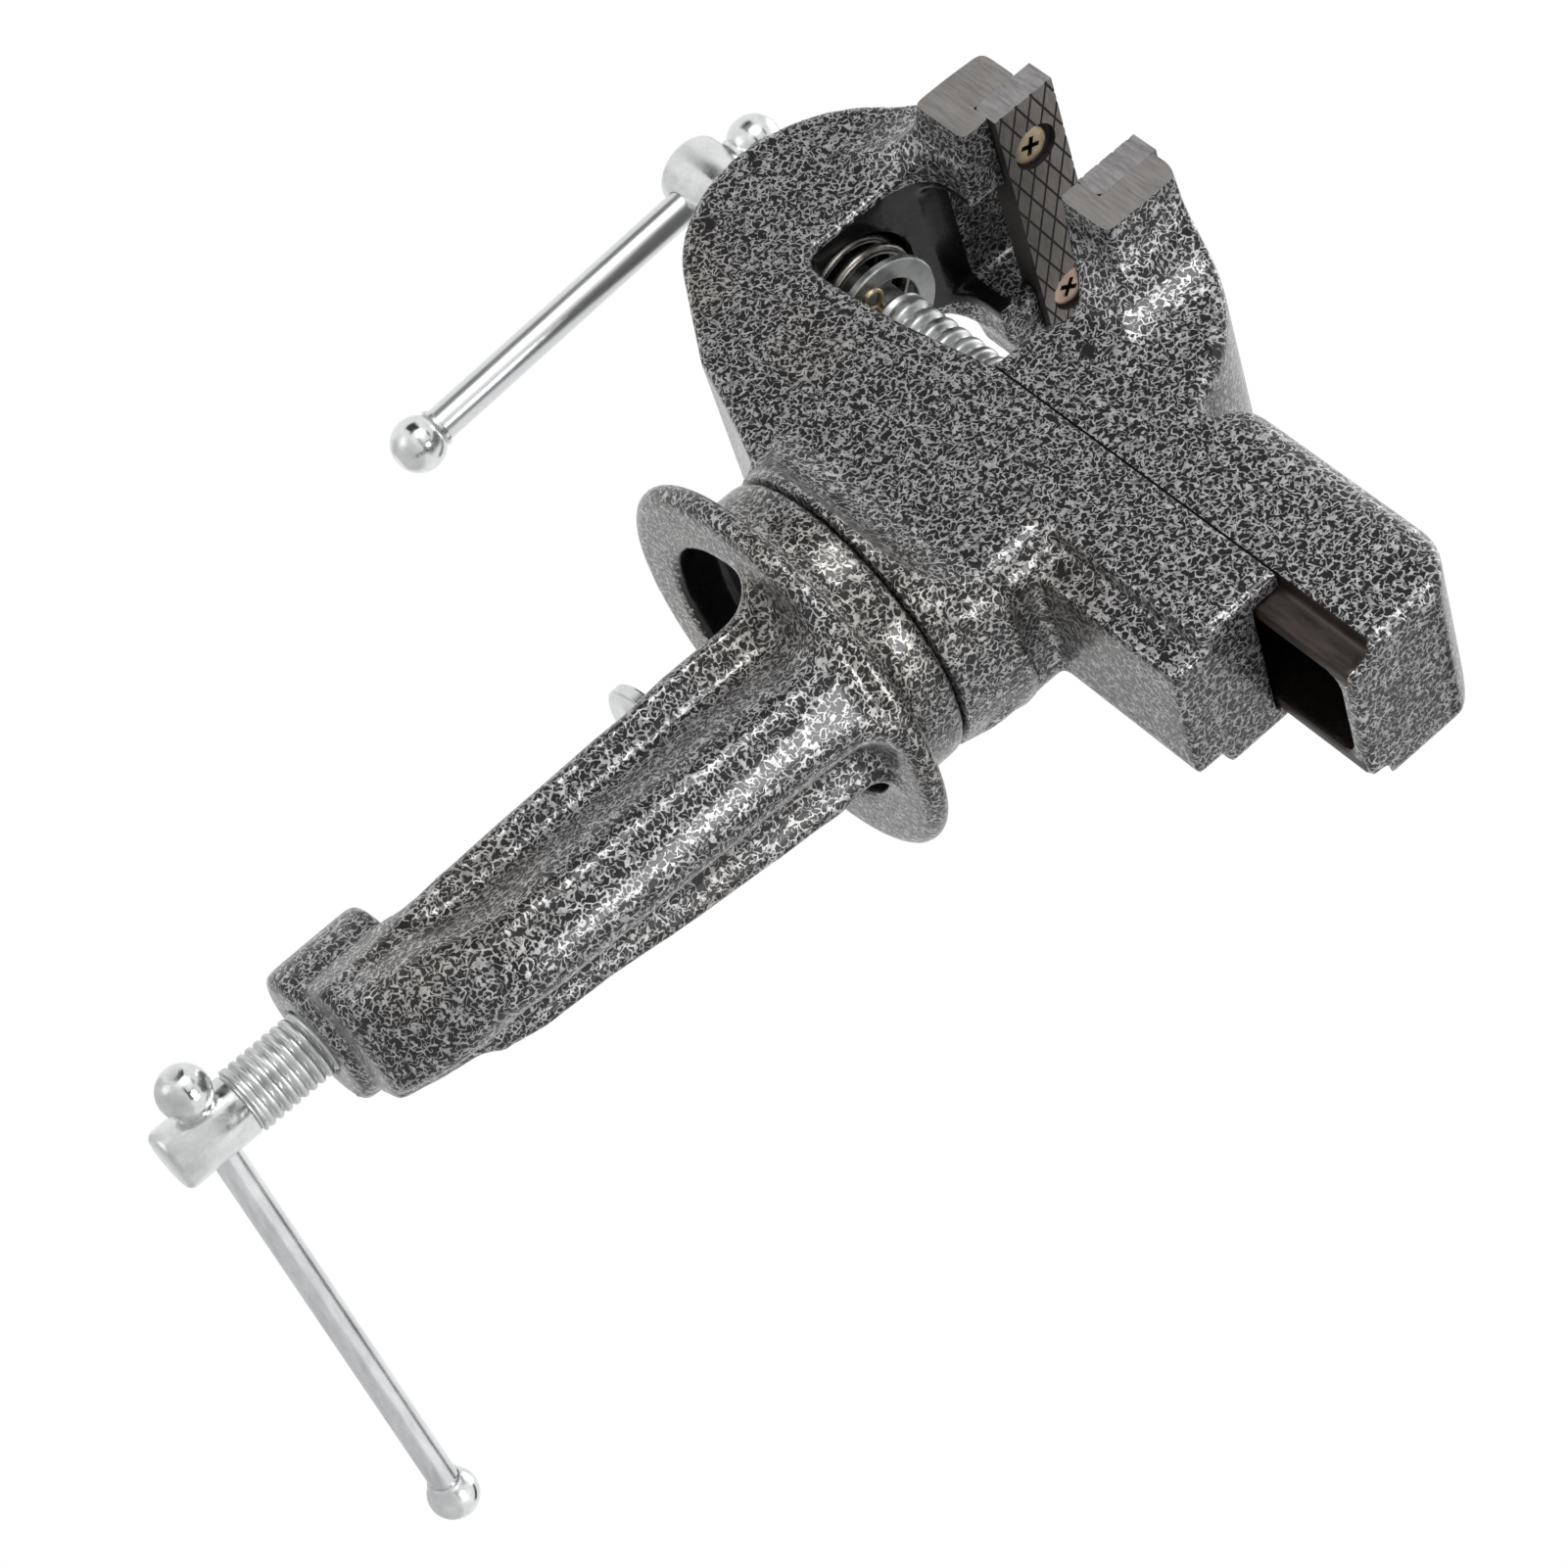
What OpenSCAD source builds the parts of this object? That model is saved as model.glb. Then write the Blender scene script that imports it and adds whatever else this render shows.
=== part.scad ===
// Clamp-on table vise with a swivelling head, hammer-finish iron castings and zinc-plated screws.
// The origin is the centre of the clamp frame's flange, on the face that sits on the table.
// +Z goes up along the swivel axis and +X runs along the main screw, from its handle to the slide.

/* [Clamp frame] */
// Radius of the flange that sits on the table
flange_r = 43.2; // [41:0.2:48]
// Thickness of the flange at its rim
flange_t = 5.2; // [4.4:0.2:6.6]
// Radius of the swivel collar above the flange
collar_r = 32.8; // [31:0.2:34.4]
// Height of the swivel joint above the table
collar_h = 18.2; // [16.6:0.2:20]
// Radius of the hollow under the flange
hollow_r = 29.5; // [27:0.5:31]
// Depth of the hollow under the flange
hollow_h = 10.6; // [10:0.1:11.5]
// Height of the clamp's mouth, from the table face down to the foot
throat_h = 91; // [86:1:104]
// Height of the threaded foot at the bottom of the frame
foot_h = 22.5; // [18:0.5:28]
// Radius of the threaded foot
foot_r = 15; // [13:0.5:16]
// Distance from the clamp screw's axis to the inner face of the leg
leg_in = 17; // [16.8:0.2:18.6]
// Distance from the clamp screw's axis to the outer face of the leg's rib
leg_out = 43; // [39:0.5:46]
// Thickness of the leg's inner flange
leg_web_t = 5.6; // [4.5:0.2:7]
// Width of the leg's inner flange where it meets the table flange
leg_web_w = 39.4; // [34:0.5:44]
// Width of the leg's inner flange at the foot
leg_foot_w = 26; // [24.8:0.2:32]
// Height of the stretch above the foot where the leg narrows and its heel is round
heel_h = 12; // [8:1:20]
// Width of the leg's rib where it leaves the inner flange
rib_w = 21.6; // [18:0.2:22]
// Direction of the leg about the swivel axis
leg_turn = -38; // [-180:1:180]
// Distance along X from the swivel axis to the clamp screw's axis
clamp_x = -3.4; // [-4.4:0.2:2]
// Distance along Y from the swivel axis to the clamp screw's axis
clamp_y = -1.6; // [-3:0.2:2]

/* [Swivel] */
// Gap between the collar and the head that turns on it
swivel_gap = 0.3; // [0.2:0.05:0.5]
// Radius of the swivel bolt
pivot_r = 6; // [5:0.5:7]
// Length of the swivel bolt inside the head
pivot_grip = 21; // [14:1:24]
// Width across the flats of the swivel bolt's head
pivot_flats = 18; // [16:0.5:19]
// Height of the swivel bolt's head
pivot_head_h = 5.4; // [4.5:0.1:5.8]
// Outer radius of the swivel washer
pivot_washer_r = 13; // [12:0.5:15]
// Thickness of the swivel washer
pivot_washer_t = 2; // [1.5:0.1:2.4]

/* [Head] */
// Width of the head and of the slide
head_w = 40; // [37:0.5:44]
// Height of the main screw's axis above the swivel joint
screw_rise = 54; // [52:0.5:58]
// Height of the main screw's axis above the joint line of head and slide
axis_over_seam = 3.7; // [3.2:0.1:4.2]
// Height of the jaws' top above the main screw's axis
jaw_rise = 46; // [44:0.5:52]
// Radius of the round back of the head
back_r = 33.2; // [31.5:0.2:36]
// Distance from the swivel axis to the centre of the round back
back_x = 58; // [57:0.5:62]
// Radius of the neck's foot on the collar
neck_r = 32.8; // [31:0.2:34.4]
// Distance from the swivel axis to the neck's front face
neck_front = 31.7; // [30:0.5:34]
// Length of the guide beam in front of the swivel axis
beam_reach = 69.6; // [65:0.2:74]
// Height of the wide part of the guide beam
beam_side_h = 19.5; // [17:0.5:21]
// Whole height of the guide beam
beam_h = 27; // [25:0.5:30]
// Width of the guide beam's lower box
box_w = 30.8; // [28:0.2:33]
// Width of the slot in the guide beam
slot_w = 32; // [31:0.2:33.2]
// Depth of the slot in the guide beam
slot_h = 6.9; // [6.4:0.1:7.5]
// Distance from the swivel axis to the back of the window
window_back = 59.4; // [58.4:0.2:61]
// Height of the window's top above the main screw's axis
window_rise = 21.9; // [20:0.2:23]

/* [Jaws] */
// Length of the jaw plates
jaw_w = 70; // [64:1:80]
// Opening between the plates at rest
jaw_gap = 23.8; // [16:0.2:28]
// Height of the jaw plates
plate_h = 15; // [14:0.5:17]
// Thickness of the jaw plates
plate_t = 6.4; // [5.6:0.2:7]
// Distance from the swivel axis to the fixed plate's gripping face
fixed_face = 42.4; // [42:0.2:43.2]
// Distance from a plate's end to its screw
plate_screw_in = 13.5; // [11:0.5:16]
// Radius of the plate screws
plate_screw_r = 3; // [2.5:0.1:3.4]
// Radius of the plate screws' heads
plate_head_r = 4.9; // [4.5:0.1:5.2]
// Length of the plate screws
plate_screw_len = 12; // [10.5:0.5:12.5]
// Step of the fixed casting's top below the plate's top
fixed_step = 4; // [2.5:0.5:5]
// Step of the moving casting's top below the plate's top
moving_step = 1; // [0.5:0.1:2]
// Depth of the fixed casting behind its plate
fixed_back = 10.9; // [9.5:0.1:12]
// Depth of the moving casting behind its plate
moving_back = 8.3; // [7.5:0.1:10]
// Depth of the seat's ledge in front of a plate's back
ledge_depth = 4.4; // [3.6:0.1:5.2]
// Height of the jaws' end faces below the plates
ledge_h = 6.6; // [5.5:0.1:7.5]

/* [Slide] */
// Distance from the moving gripping face to the front of the slide
slide_nose = 9.5; // [9:0.1:10.5]
// Thickness of the slide's end below the joint line, past the milled shoulders
slide_lip = 1.2; // [1:0.2:4]
// Height of the slide above the joint line
slide_h = 26.7; // [25:0.1:28]
// Radius along the slide's upper edges
slide_edge_r = 7.5; // [5:0.5:9.5]
// Height of the slide's low part, under the jaw
saddle_h = 18.4; // [17:0.2:20]
// Distance from the slide's nose to the step up behind the jaw
hump_start = 45.5; // [43.5:0.5:47]
// Width of the skirt that runs in the guide beam
skirt_w = 31.4; // [30.4:0.1:31.6]
// Depth of the skirt below the joint line
skirt_h = 6.6; // [6:0.1:6.7]
// Width of the hollow in the slide
core_w = 24; // [22:0.5:25]
// Height of the hollow above the joint line
core_h = 18.4; // [16.6:0.2:19.4]
// Thickness of the slide's end wall
slide_wall = 4.4; // [3:0.2:6]
// Gap between the sliding faces
slide_gap = 0.3; // [0.2:0.05:0.5]
// Travel of the slide when the jaws open from rest
open_travel = 36; // [28:1:37]

/* [Main screw] */
// Radius of the main screw
screw_r = 7; // [6.4:0.1:7.2]
// Radius of the main screw's head
screw_head_r = 8; // [7.6:0.1:9]
// Distance from the swivel axis to the end of the screw's head
screw_head_end = 113.7; // [110:0.5:118]
// Distance from the head's end to the handle
handle_in = 6.6; // [6.4:0.1:8.5]
// Radius of the waist that carries the spring washer and the split pin
waist_r = 5.6; // [4.8:0.1:5.8]
// Distance from the swivel axis to the start of the thread
thread_start = 47; // [46.4:0.2:47.4]
// Distance from the swivel axis to the tip of the screw
screw_tip = 46; // [44.5:0.5:52]
// Length of the jaw nut
nut_len = 13.8; // [12:0.2:15]
// Radial running clearance of every shaft in its bore
run_gap = 0.05; // [0.03:0.01:0.09]

/* [Spring] */
// Radius of the bore that holds the spring
spring_bore_r = 14; // [13.4:0.1:14.6]
// Distance from the swivel axis to the floor of the spring's bore
spring_seat = 75; // [73:0.5:77]
// Radius of the spring from its axis to the middle of its wire
spring_r = 11.4; // [10.8:0.1:11.8]
// Diameter of the spring's wire
spring_wire = 2.3; // [1.8:0.1:2.6]
// Number of curls in the spring
spring_curls = 4; // [3:1:4]
// Outer radius of the spring washer
spring_washer_r = 12.9; // [12.7:0.1:13.3]
// Radius of the spring washer's hole
washer_hole_r = 8.4; // [7.4:0.2:9]
// Thickness of the spring washer
spring_washer_t = 1.8; // [1.4:0.1:2.2]
// Radius of the split pin
pin_r = 1.25; // [1:0.05:1.5]
// Turn of the split pin against the handle
pin_turn = 14; // [0:1:60]

/* [Handles] */
// Turn of the main screw and its handle at rest
main_turn = 4.5; // [-180:0.5:180]
// Radius of the main handle's rod
handle_r = 3.65; // [3.2:0.05:3.8]
// Distance between the main handle's balls
handle_len = 94.4; // [85:1:110]
// Radius of the main handle's balls
handle_ball_r = 5.9; // [5.7:0.1:7]
// Radius of the clamp handle's rod
lever_r = 3.1; // [2.8:0.05:3.2]
// Distance between the clamp handle's balls
lever_len = 130; // [110:1:140]
// Radius of the clamp handle's balls
lever_ball_r = 5.4; // [5.2:0.1:6.2]
// Direction of the clamp handle about the clamp screw
lever_turn = 79.3; // [0:1:360]
// Clearance of a handle's rod in its hole
rod_gap = 0.1; // [0.05:0.01:0.2]
// Gap between a handle's ball and the screw head that it rests on
ball_gap = 0.3; // [0.2:0.05:0.5]

/* [Clamp screw] */
// Radius of the clamp screw
clamp_r = 7; // [6.4:0.1:7.2]
// Radius of the clamp screw's head
clamp_head_r = 6.6; // [6.2:0.1:7.4]
// Length of the clamp screw's head
clamp_head_len = 17.5; // [16:0.5:20]
// Length of thread showing below the foot at rest
clamp_show = 17.5; // [8:0.5:24]
// Distance of the pad's face below the table face at rest
pad_drop = 25; // [14:0.5:30]
// Radius of the pad
pad_r = 14.5; // [13:0.5:15.4]
// Thickness of the pad's plate
pad_t = 3; // [2.4:0.2:3.6]
// Radius of the pad's socket
pad_hub_r = 9.5; // [8.5:0.1:10.5]
// Radius of the ball on top of the clamp screw
swivel_ball_r = 5.5; // [5:0.1:5.8]
// Radius of the neck below that ball
ball_neck_r = 4; // [3.4:0.1:4.3]

/* [Hidden] */
$fn = 48;

paint = "#3a3839";
zinc = "#c9cccf";
steel = "#7b7775";
bright_zinc = "#d8d4c6";

cut = 0.5;          // reach of a cutting body past the face that it opens
seat_gap = 0.1;     // gap between flat faces that are clamped or butted together
core_gap = 0.1;     // gap between the jaw nut and the walls that hold it
edge_r = 2.5;       // rounding of the round castings' edges
root_r = 8;         // fillet where the leg runs into the flange and into the foot
leg_taper = 3;      // loss of width of the leg's inner flange between flange and foot

// Heights
neck_foot = collar_h + swivel_gap;
axis_z = collar_h + screw_rise + swivel_gap;
seam = axis_z - axis_over_seam;
slide_base = seam + slide_gap;
slide_top = seam + slide_h;
slot_floor = seam - slot_h;
skirt_foot = slide_base - skirt_h;
core_top = seam + core_h;
saddle_top = seam + saddle_h;
plate_top = axis_z + jaw_rise;
plate_foot = plate_top - plate_h;
plate_mid = plate_top - plate_h / 2;
jaw_foot = plate_foot - ledge_h;
window_top = axis_z + window_rise;
foot_top = -throat_h;
foot_base = -throat_h - foot_h;

// Places along the main screw
fixed_seat = -fixed_face - plate_t;
fixed_ledge = fixed_seat + ledge_depth;
moving_face = -fixed_face + jaw_gap;
moving_seat = moving_face + plate_t;
moving_ledge = moving_seat - ledge_depth - 1.6;
nose = moving_face + slide_nose;
shoulder_end = beam_reach + jaw_gap + 0.2;
slide_end = shoulder_end + slide_lip;
core_end = slide_end - slide_wall;
back_face = -back_x - back_r + 1.5;
head_shoulder = back_face - seat_gap;
handle_x = -screw_head_end + handle_in;
washer_left = -thread_start - 5.4;
pin_x = washer_left + spring_washer_t + seat_gap + pin_r;
nut_front = nose + 5.4;

function arc(cx, cy, r, a0, a1, n) =
    [for (i = [0:n]) let (a = a0 + (a1 - a0) * i / n) [cx + r * cos(a), cy + r * sin(a)]];
function curve(p, q, s, n) =
    [for (i = [0:n]) let (t = i / n) p * (1 - t) * (1 - t) + q * 2 * t * (1 - t) + s * t * t];
function flip(points) = [for (i = [len(points) - 1:-1:0]) [-points[i][0], points[i][1]]];

// Stretches a plan or outline drawn in (x, z) to both sides of the middle plane
module across(w) {
    rotate([90, 0, 0]) linear_extrude(w, center = true) children();
}

// Stretches a section drawn in (y, z) along the main screw's direction
module along(x0, x1) {
    translate([x0, 0, 0]) rotate([90, 0, 90]) linear_extrude(x1 - x0) children();
}

// A rod along X from x0 to x1 at the main screw's height
module x_rod(r, x0, x1) {
    translate([x0, 0, axis_z]) rotate([0, 90, 0]) cylinder(r = r, h = x1 - x0);
}

// Turns what is drawn upright with the main screw
module on_main_screw() {
    translate([0, 0, axis_z]) rotate([main_turn, 0, 0]) translate([0, 0, -axis_z]) children();
}

// Clamp frame

// One section of the leg: a broad rib on a flat inner flange, with its inner corners filled.
// The distance from the screw's axis comes first, and g swells the section into the root.
function leg_half(inn, web, rib, out) =
    let (top = leg_in + leg_web_t, round = min(6, (out - top) / 2), root = min(top + 5, out - round))
    concat(
        [[inn, 0], [inn, web - 1.5], [inn + 1.5, web]],
        arc(top - 1, web - 1, 1, 90, 0, 2),
        curve([top, min(rib + 5, web - 1.2)], [top, rib], [root, rib], 4),
        arc(out - round, rib - round - (out - round - root) * 0.14, round, 86, 0, 4)
    );
function leg_ring(inn, web, rib, out, z) =
    let (half = leg_half(inn, web, rib, out), n = len(half), side = foot_side * pow(min(1, -z / throat_h), 4))
    concat(
        [for (p = half) under_flange(p[0], side + p[1], z)],
        [for (i = [n - 1:-1:1]) under_flange(half[i][0], side - half[i][1], z)]
    );
// Draws a point of the leg in to the flange's outline where it would stand out from under it
function under_flange(x, y, z) =
    let (k = min(1, (flange_r - 0.3) / norm([x, y]))) [x * k, y * k, z];
// Offset of the foot to one side of the leg's own middle line
foot_side = clamp_y * cos(leg_turn) - clamp_x * sin(leg_turn);
heel_r = heel_h + foot_h - 0.5;
function ease(t) = (1 - cos(180 * max(0, min(1, t)))) / 2;
function web_at(z) = (leg_web_w + leg_taper * z / throat_h
    - (leg_web_w - leg_taper - leg_foot_w) * ease((-z - throat_h + 1.2 * heel_h) / (1.6 * heel_h))) / 2;
function out_at(z) =
    z > heel_h - throat_h ? leg_out
    : leg_out - (leg_out - foot_r - 2) * (1 - sqrt(max(0, 1 - pow((heel_h - throat_h - z) / heel_r, 2))));
leg_rings = concat(
    [leg_ring(leg_in, web_at(0) + root_r, rib_w / 2 + root_r, leg_out, flange_t / 2)],
    [for (s = [0:4]) let (z = -root_r * (1 - cos(s * 22.5)), g = root_r * (1 - sin(s * 22.5)))
        leg_ring(leg_in, web_at(z) + g, rib_w / 2 + g, leg_out, z)],
    [for (s = [0:10]) let (z = heel_h - throat_h - heel_r * 0.95 * sin(s * 9), in = z + throat_h)
        leg_ring(leg_in - (in > root_r ? 0 : root_r * (1 - sqrt(max(0, 1 - pow(1 - max(0, in) / root_r, 2))))),
            web_at(z), rib_w / 2, out_at(z), z)]
);

// Closes a stack of rings into one solid
module loft(rings) {
    n = len(rings[0]);
    m = len(rings);
    polyhedron(
        points = [for (ring = rings) each ring],
        faces = concat(
            [[for (i = [0:n - 1]) i]],
            [for (j = [0:m - 2], i = [0:n - 1]) let (k = (i + 1) % n)
                [j * n + i, (j + 1) * n + i, j * n + k]],
            [for (j = [0:m - 2], i = [0:n - 1]) let (k = (i + 1) % n)
                [j * n + k, (j + 1) * n + i, (j + 1) * n + k]],
            [[for (i = [n - 1:-1:0]) (m - 1) * n + i]]
        )
    );
}

module clamp_frame() {
    color(paint) difference() {
        union() {
            rotate_extrude($fn = 96) polygon(concat(
                [[0, 0], [flange_r - edge_r, 0]],
                arc(flange_r - edge_r, edge_r, edge_r, -90, 0, 5),
                arc(flange_r - edge_r, flange_t - edge_r, edge_r, 0, 80, 5),
                curve([collar_r + 4.5, flange_t + 0.2], [collar_r + 0.4, flange_t + 0.4],
                    [collar_r, flange_t + 5], 5),
                [[collar_r, collar_h - 0.6], [collar_r - 0.6, collar_h], [0, collar_h]]
            ));
            rotate([0, 0, leg_turn]) loft(leg_rings);
            translate([clamp_x, clamp_y, foot_base]) rotate_extrude() polygon(concat(
                [[0, 0]],
                arc(foot_r - 1.5, 1.5, 1.5, -90, 0, 3),
                arc(foot_r - 1, foot_h - 1, 1, 0, 90, 2),
                [[0, foot_h]]
            ));
        }
        // Hollow under the flange, which the leg's root fills on its own side
        difference() {
            translate([0, 0, -cut]) cylinder(r = hollow_r, h = hollow_h + cut, $fn = 96);
            rotate([0, 0, leg_turn]) translate([leg_in, -leg_web_w / 2 - 8, -1])
                cube([flange_r, leg_web_w + 16, hollow_h + 2]);
        }
        translate([0, 0, hollow_h - cut]) cylinder(r = pivot_r + run_gap, h = collar_h - hollow_h + 2 * cut);
        translate([clamp_x, clamp_y, foot_base - cut]) cylinder(r = clamp_r + run_gap, h = foot_h + 2 * cut);
    }
}

module pivot_bolt() {
    head_z = hollow_h - seat_gap - pivot_washer_t - seat_gap - pivot_head_h;
    color(zinc) {
        translate([0, 0, head_z]) cylinder(r = pivot_flats / sqrt(3), h = pivot_head_h, $fn = 6);
        translate([0, 0, head_z + pivot_head_h - cut])
            cylinder(r = pivot_r, h = neck_foot + pivot_grip - head_z - pivot_head_h + cut);
    }
}

module pivot_washer() {
    color(zinc) translate([0, 0, hollow_h - seat_gap - pivot_washer_t]) difference() {
        cylinder(r = pivot_washer_r, h = pivot_washer_t);
        translate([0, 0, -cut]) cylinder(r = pivot_r + 0.3, h = pivot_washer_t + 2 * cut);
    }
}

// Head

// Side outline of the head, from the jaw over the round back and the neck to the guide beam
module head_outline() {
    top = plate_top - fixed_step;
    win_x = -window_back;
    polygon(concat(
        [[fixed_seat, top]],
        arc(fixed_seat - fixed_back + 3, top - 3, 3, 90, 125, 2),
        arc(-back_x, axis_z + 0.5, back_r, 125, 238, 26),
        curve([-56, neck_foot + 14.4], [-43, neck_foot + 10.4], [-28.6, neck_foot + 4.3], 6),
        [[-neck_r * 0.8, neck_foot], [neck_r * 0.8, neck_foot], [neck_front, neck_foot + 9]],
        [[neck_front, seam - beam_h + cut], [beam_reach, seam - beam_h + cut], [beam_reach, seam]],
        [[nose - 1.2, seam], [win_x + 28, seam - 4]],
        curve([win_x + 8, seam - 6.1], [win_x + 1, seam - 6.6], [win_x, seam - 3.5], 4),
        curve([win_x, axis_z + 10], [win_x + 0.8, window_top], [win_x + 9, window_top], 7),
        [[fixed_ledge + 0.3, window_top], [fixed_ledge, window_top + 1.5]],
        [[fixed_ledge, plate_foot], [fixed_seat, plate_foot]]
    ));
}

// Half-width of a jaw that narrows downwards into a body of width w below height foot
module jaw_section(w, foot, top) {
    half = concat(
        [[w / 2 - 1, foot - 24]],
        curve([w / 2, foot - 16], [w / 2 + 0.5, foot - 0.5], [jaw_w / 2, foot], 8),
        [[jaw_w / 2, top]]
    );
    polygon(concat(half, flip(half)));
}

module fixed_jaw_body() {
    back = fixed_seat - fixed_back;
    color(paint) difference() {
        union() {
            // Body between the jaw, the round back, the window and the neck
            intersection() {
                across(head_w) head_outline();
                union() {
                    translate([-back_x - back_r - 1, -head_w / 2, 0])
                        cube([back_x + back_r + 1 + neck_front - 8, head_w, plate_top]);
                    column_plan(8);
                    translate([0, -head_w / 2, seam - beam_side_h])
                        cube([beam_reach, head_w, beam_side_h]);
                }
            }
            // Lower box of the guide beam
            translate([0, -box_w / 2, seam - beam_h]) cube([beam_reach, box_w, beam_h - slot_h - cut]);
            // Jaw, drawn in on its back and on its underside to the width of the body
            intersection() {
                across(jaw_w) head_outline();
                along(back - 24, fixed_ledge + 1) jaw_section(head_w, jaw_foot, plate_top);
                linear_extrude(plate_top) fixed_jaw_plan(back);
            }
            neck();
        }
        // Slot that guides the slide's skirt and clears the screw
        translate([-window_back + 2, -slot_w / 2, slot_floor])
            cube([window_back + beam_reach, slot_w, seam]);
        // Journal, spring bore and the flat that the screw's shoulder bears on
        x_rod(screw_r + run_gap, -back_x - back_r - 2, -window_back + 2);
        x_rod(spring_bore_r, -spring_seat, -thread_start + 1);
        x_rod(screw_head_r + 2.5, -back_x - back_r - 2, back_face);
        translate([0, 0, neck_foot - cut]) cylinder(r = pivot_r + run_gap, h = pivot_grip + 2 + cut);
        plate_screw_holes(fixed_seat, -1);
    }
}

// Plan of the neck's front, with round corners
module column_plan(r) {
    x0 = 10;
    linear_extrude(seam - slot_h - 1) union() {
        translate([x0, -head_w / 2]) square([neck_front - r - x0, head_w]);
        translate([x0, -head_w / 2 + r]) square([neck_front - x0, head_w - 2 * r]);
        for (s = [-1, 1]) translate([neck_front - r, s * (head_w / 2 - r)]) circle(r);
    }
}

module fixed_jaw_plan(back) {
    half = concat(
        [[back - 24, head_w / 2 - 1]],
        curve([back - 17, head_w / 2], [back - 1.5, head_w / 2 + 0.5], [back, jaw_w / 2 - 2], 8),
        [[back + 1.5, jaw_w / 2], [fixed_ledge + 1, jaw_w / 2]]
    );
    polygon(concat(half, [for (i = [len(half) - 1:-1:0]) [half[i][0], -half[i][1]]]));
}

// Round foot of the neck, drawn in at the sides to the width of the head
module neck() {
    rise = 15.5;
    half = concat(
        [[neck_r + 3, 0], [neck_r + 3, 2]],
        curve([neck_r, 2], [head_w / 2 + 0.8, 4.5], [head_w / 2, rise], 8)
    );
    intersection() {
        translate([0, 0, neck_foot]) rotate_extrude($fn = 96) polygon(concat(
            [[0, 0], [neck_r - 0.6, 0], [neck_r, 0.6], [neck_r, 2]],
            curve([neck_r, 2], [neck_r + 0.4, 8], [neck_r + 2.4, rise], 5),
            [[0, rise]]
        ));
        translate([0, 0, neck_foot]) along(-neck_r - 6, neck_r + 6) polygon(concat(half, flip(half)));
    }
}

// Blind holes for the plate screws in a casting whose seat lies at x; side is -1 or 1
module plate_screw_holes(x, side) {
    for (s = [-1, 1]) translate([x, s * (jaw_w / 2 - plate_screw_in), plate_mid])
        rotate([0, side * 90, 0]) translate([0, 0, -cut])
            cylinder(r = plate_screw_r + run_gap, h = plate_screw_len - plate_t + 0.4 + cut);
}

// A gripping plate whose face lies at x, with its back towards side
module jaw_plate(x, side) {
    color(steel) difference() {
        translate([side > 0 ? x : x - plate_t, -jaw_w / 2, plate_foot]) cube([plate_t, jaw_w, plate_h]);
        for (s = [-1, 1]) translate([x, s * (jaw_w / 2 - plate_screw_in), plate_mid])
            rotate([0, side * 90, 0]) rotate_extrude() polygon([
                [0, -cut], [plate_head_r + 0.4, -cut], [plate_head_r + 0.4, 0.9],
                [plate_screw_r + run_gap, 1.3 + plate_head_r - plate_screw_r],
                [plate_screw_r + run_gap, plate_t + cut], [0, plate_t + cut]
            ]);
    }
}

// The two countersunk screws of the plate whose face lies at x
module plate_screws(x, side) {
    color(bright_zinc)
        for (s = [-1, 1]) translate([x, s * (jaw_w / 2 - plate_screw_in), plate_mid])
            rotate([0, side * 90, 0]) rotate_extrude() polygon([
                [0, 0.6], [plate_head_r - 0.5, 0.7], [plate_head_r, 1.2],
                [plate_screw_r, 1.2 + plate_head_r - plate_screw_r],
                [plate_screw_r, plate_screw_len - 0.5], [plate_screw_r - 0.5, plate_screw_len],
                [0, plate_screw_len]
            ]);
}

module fixed_jaw_plate() {
    jaw_plate(-fixed_face, -1);
}

module fixed_plate_screws() {
    plate_screws(-fixed_face, -1);
}

// Slide

// Side outline of the slide with the jaw that stands on it
module slide_outline() {
    top = plate_top - moving_step;
    back = moving_seat + moving_back;
    crown_r = 41;
    crown_x = back - 6.3;
    crown_z = top - 1.5 - crown_r * sin(79);
    crown_end = crown_x + crown_r * cos(19);
    step = nose + hump_start;
    polygon(concat(
        [[nose, skirt_foot]],
        curve([nose, axis_z + 9.5], [nose + 7, axis_z + 15.5], [nose - 3, axis_z + 21.5], 6),
        [[moving_ledge, jaw_foot + 1.6], [moving_ledge, plate_foot],
            [moving_seat, plate_foot], [moving_seat, top]],
        arc(back - 4, top - 3, 3, 90, 45, 3),
        arc(crown_x, crown_z, crown_r, 79, 19, 16),
        curve([crown_end + 0.4, saddle_top + 1.2], [crown_end + 0.8, saddle_top], [crown_end + 2.5, saddle_top], 3),
        curve([step - 3, saddle_top], [step - 0.5, slide_top], [step + 3, slide_top], 5),
        curve([slide_end - 19, slide_top], [slide_end - 7, slide_top], [slide_end, slide_top - 10], 8),
        [[slide_end, skirt_foot]]
    ));
}

// Section across the slide: a wide rounded bar above the joint line and a narrower skirt below it
module slide_section() {
    r = slide_edge_r;
    half = concat(
        [[skirt_w / 2, skirt_foot], [skirt_w / 2, slide_base], [head_w / 2, slide_base]],
        arc(head_w / 2 - r, slide_top - r, r, 0, 90, 7)
    );
    polygon(concat(half, flip(half)));
}

module slide_plan() {
    r = 2;
    length = slide_end - nose;
    translate([nose - 1, -head_w / 2]) square([length + 1 - r, head_w]);
    translate([nose, -head_w / 2 + r]) square([length, head_w - 2 * r]);
    for (s = [-1, 1]) translate([slide_end - r, s * (head_w / 2 - r)]) circle(r);
}

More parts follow.
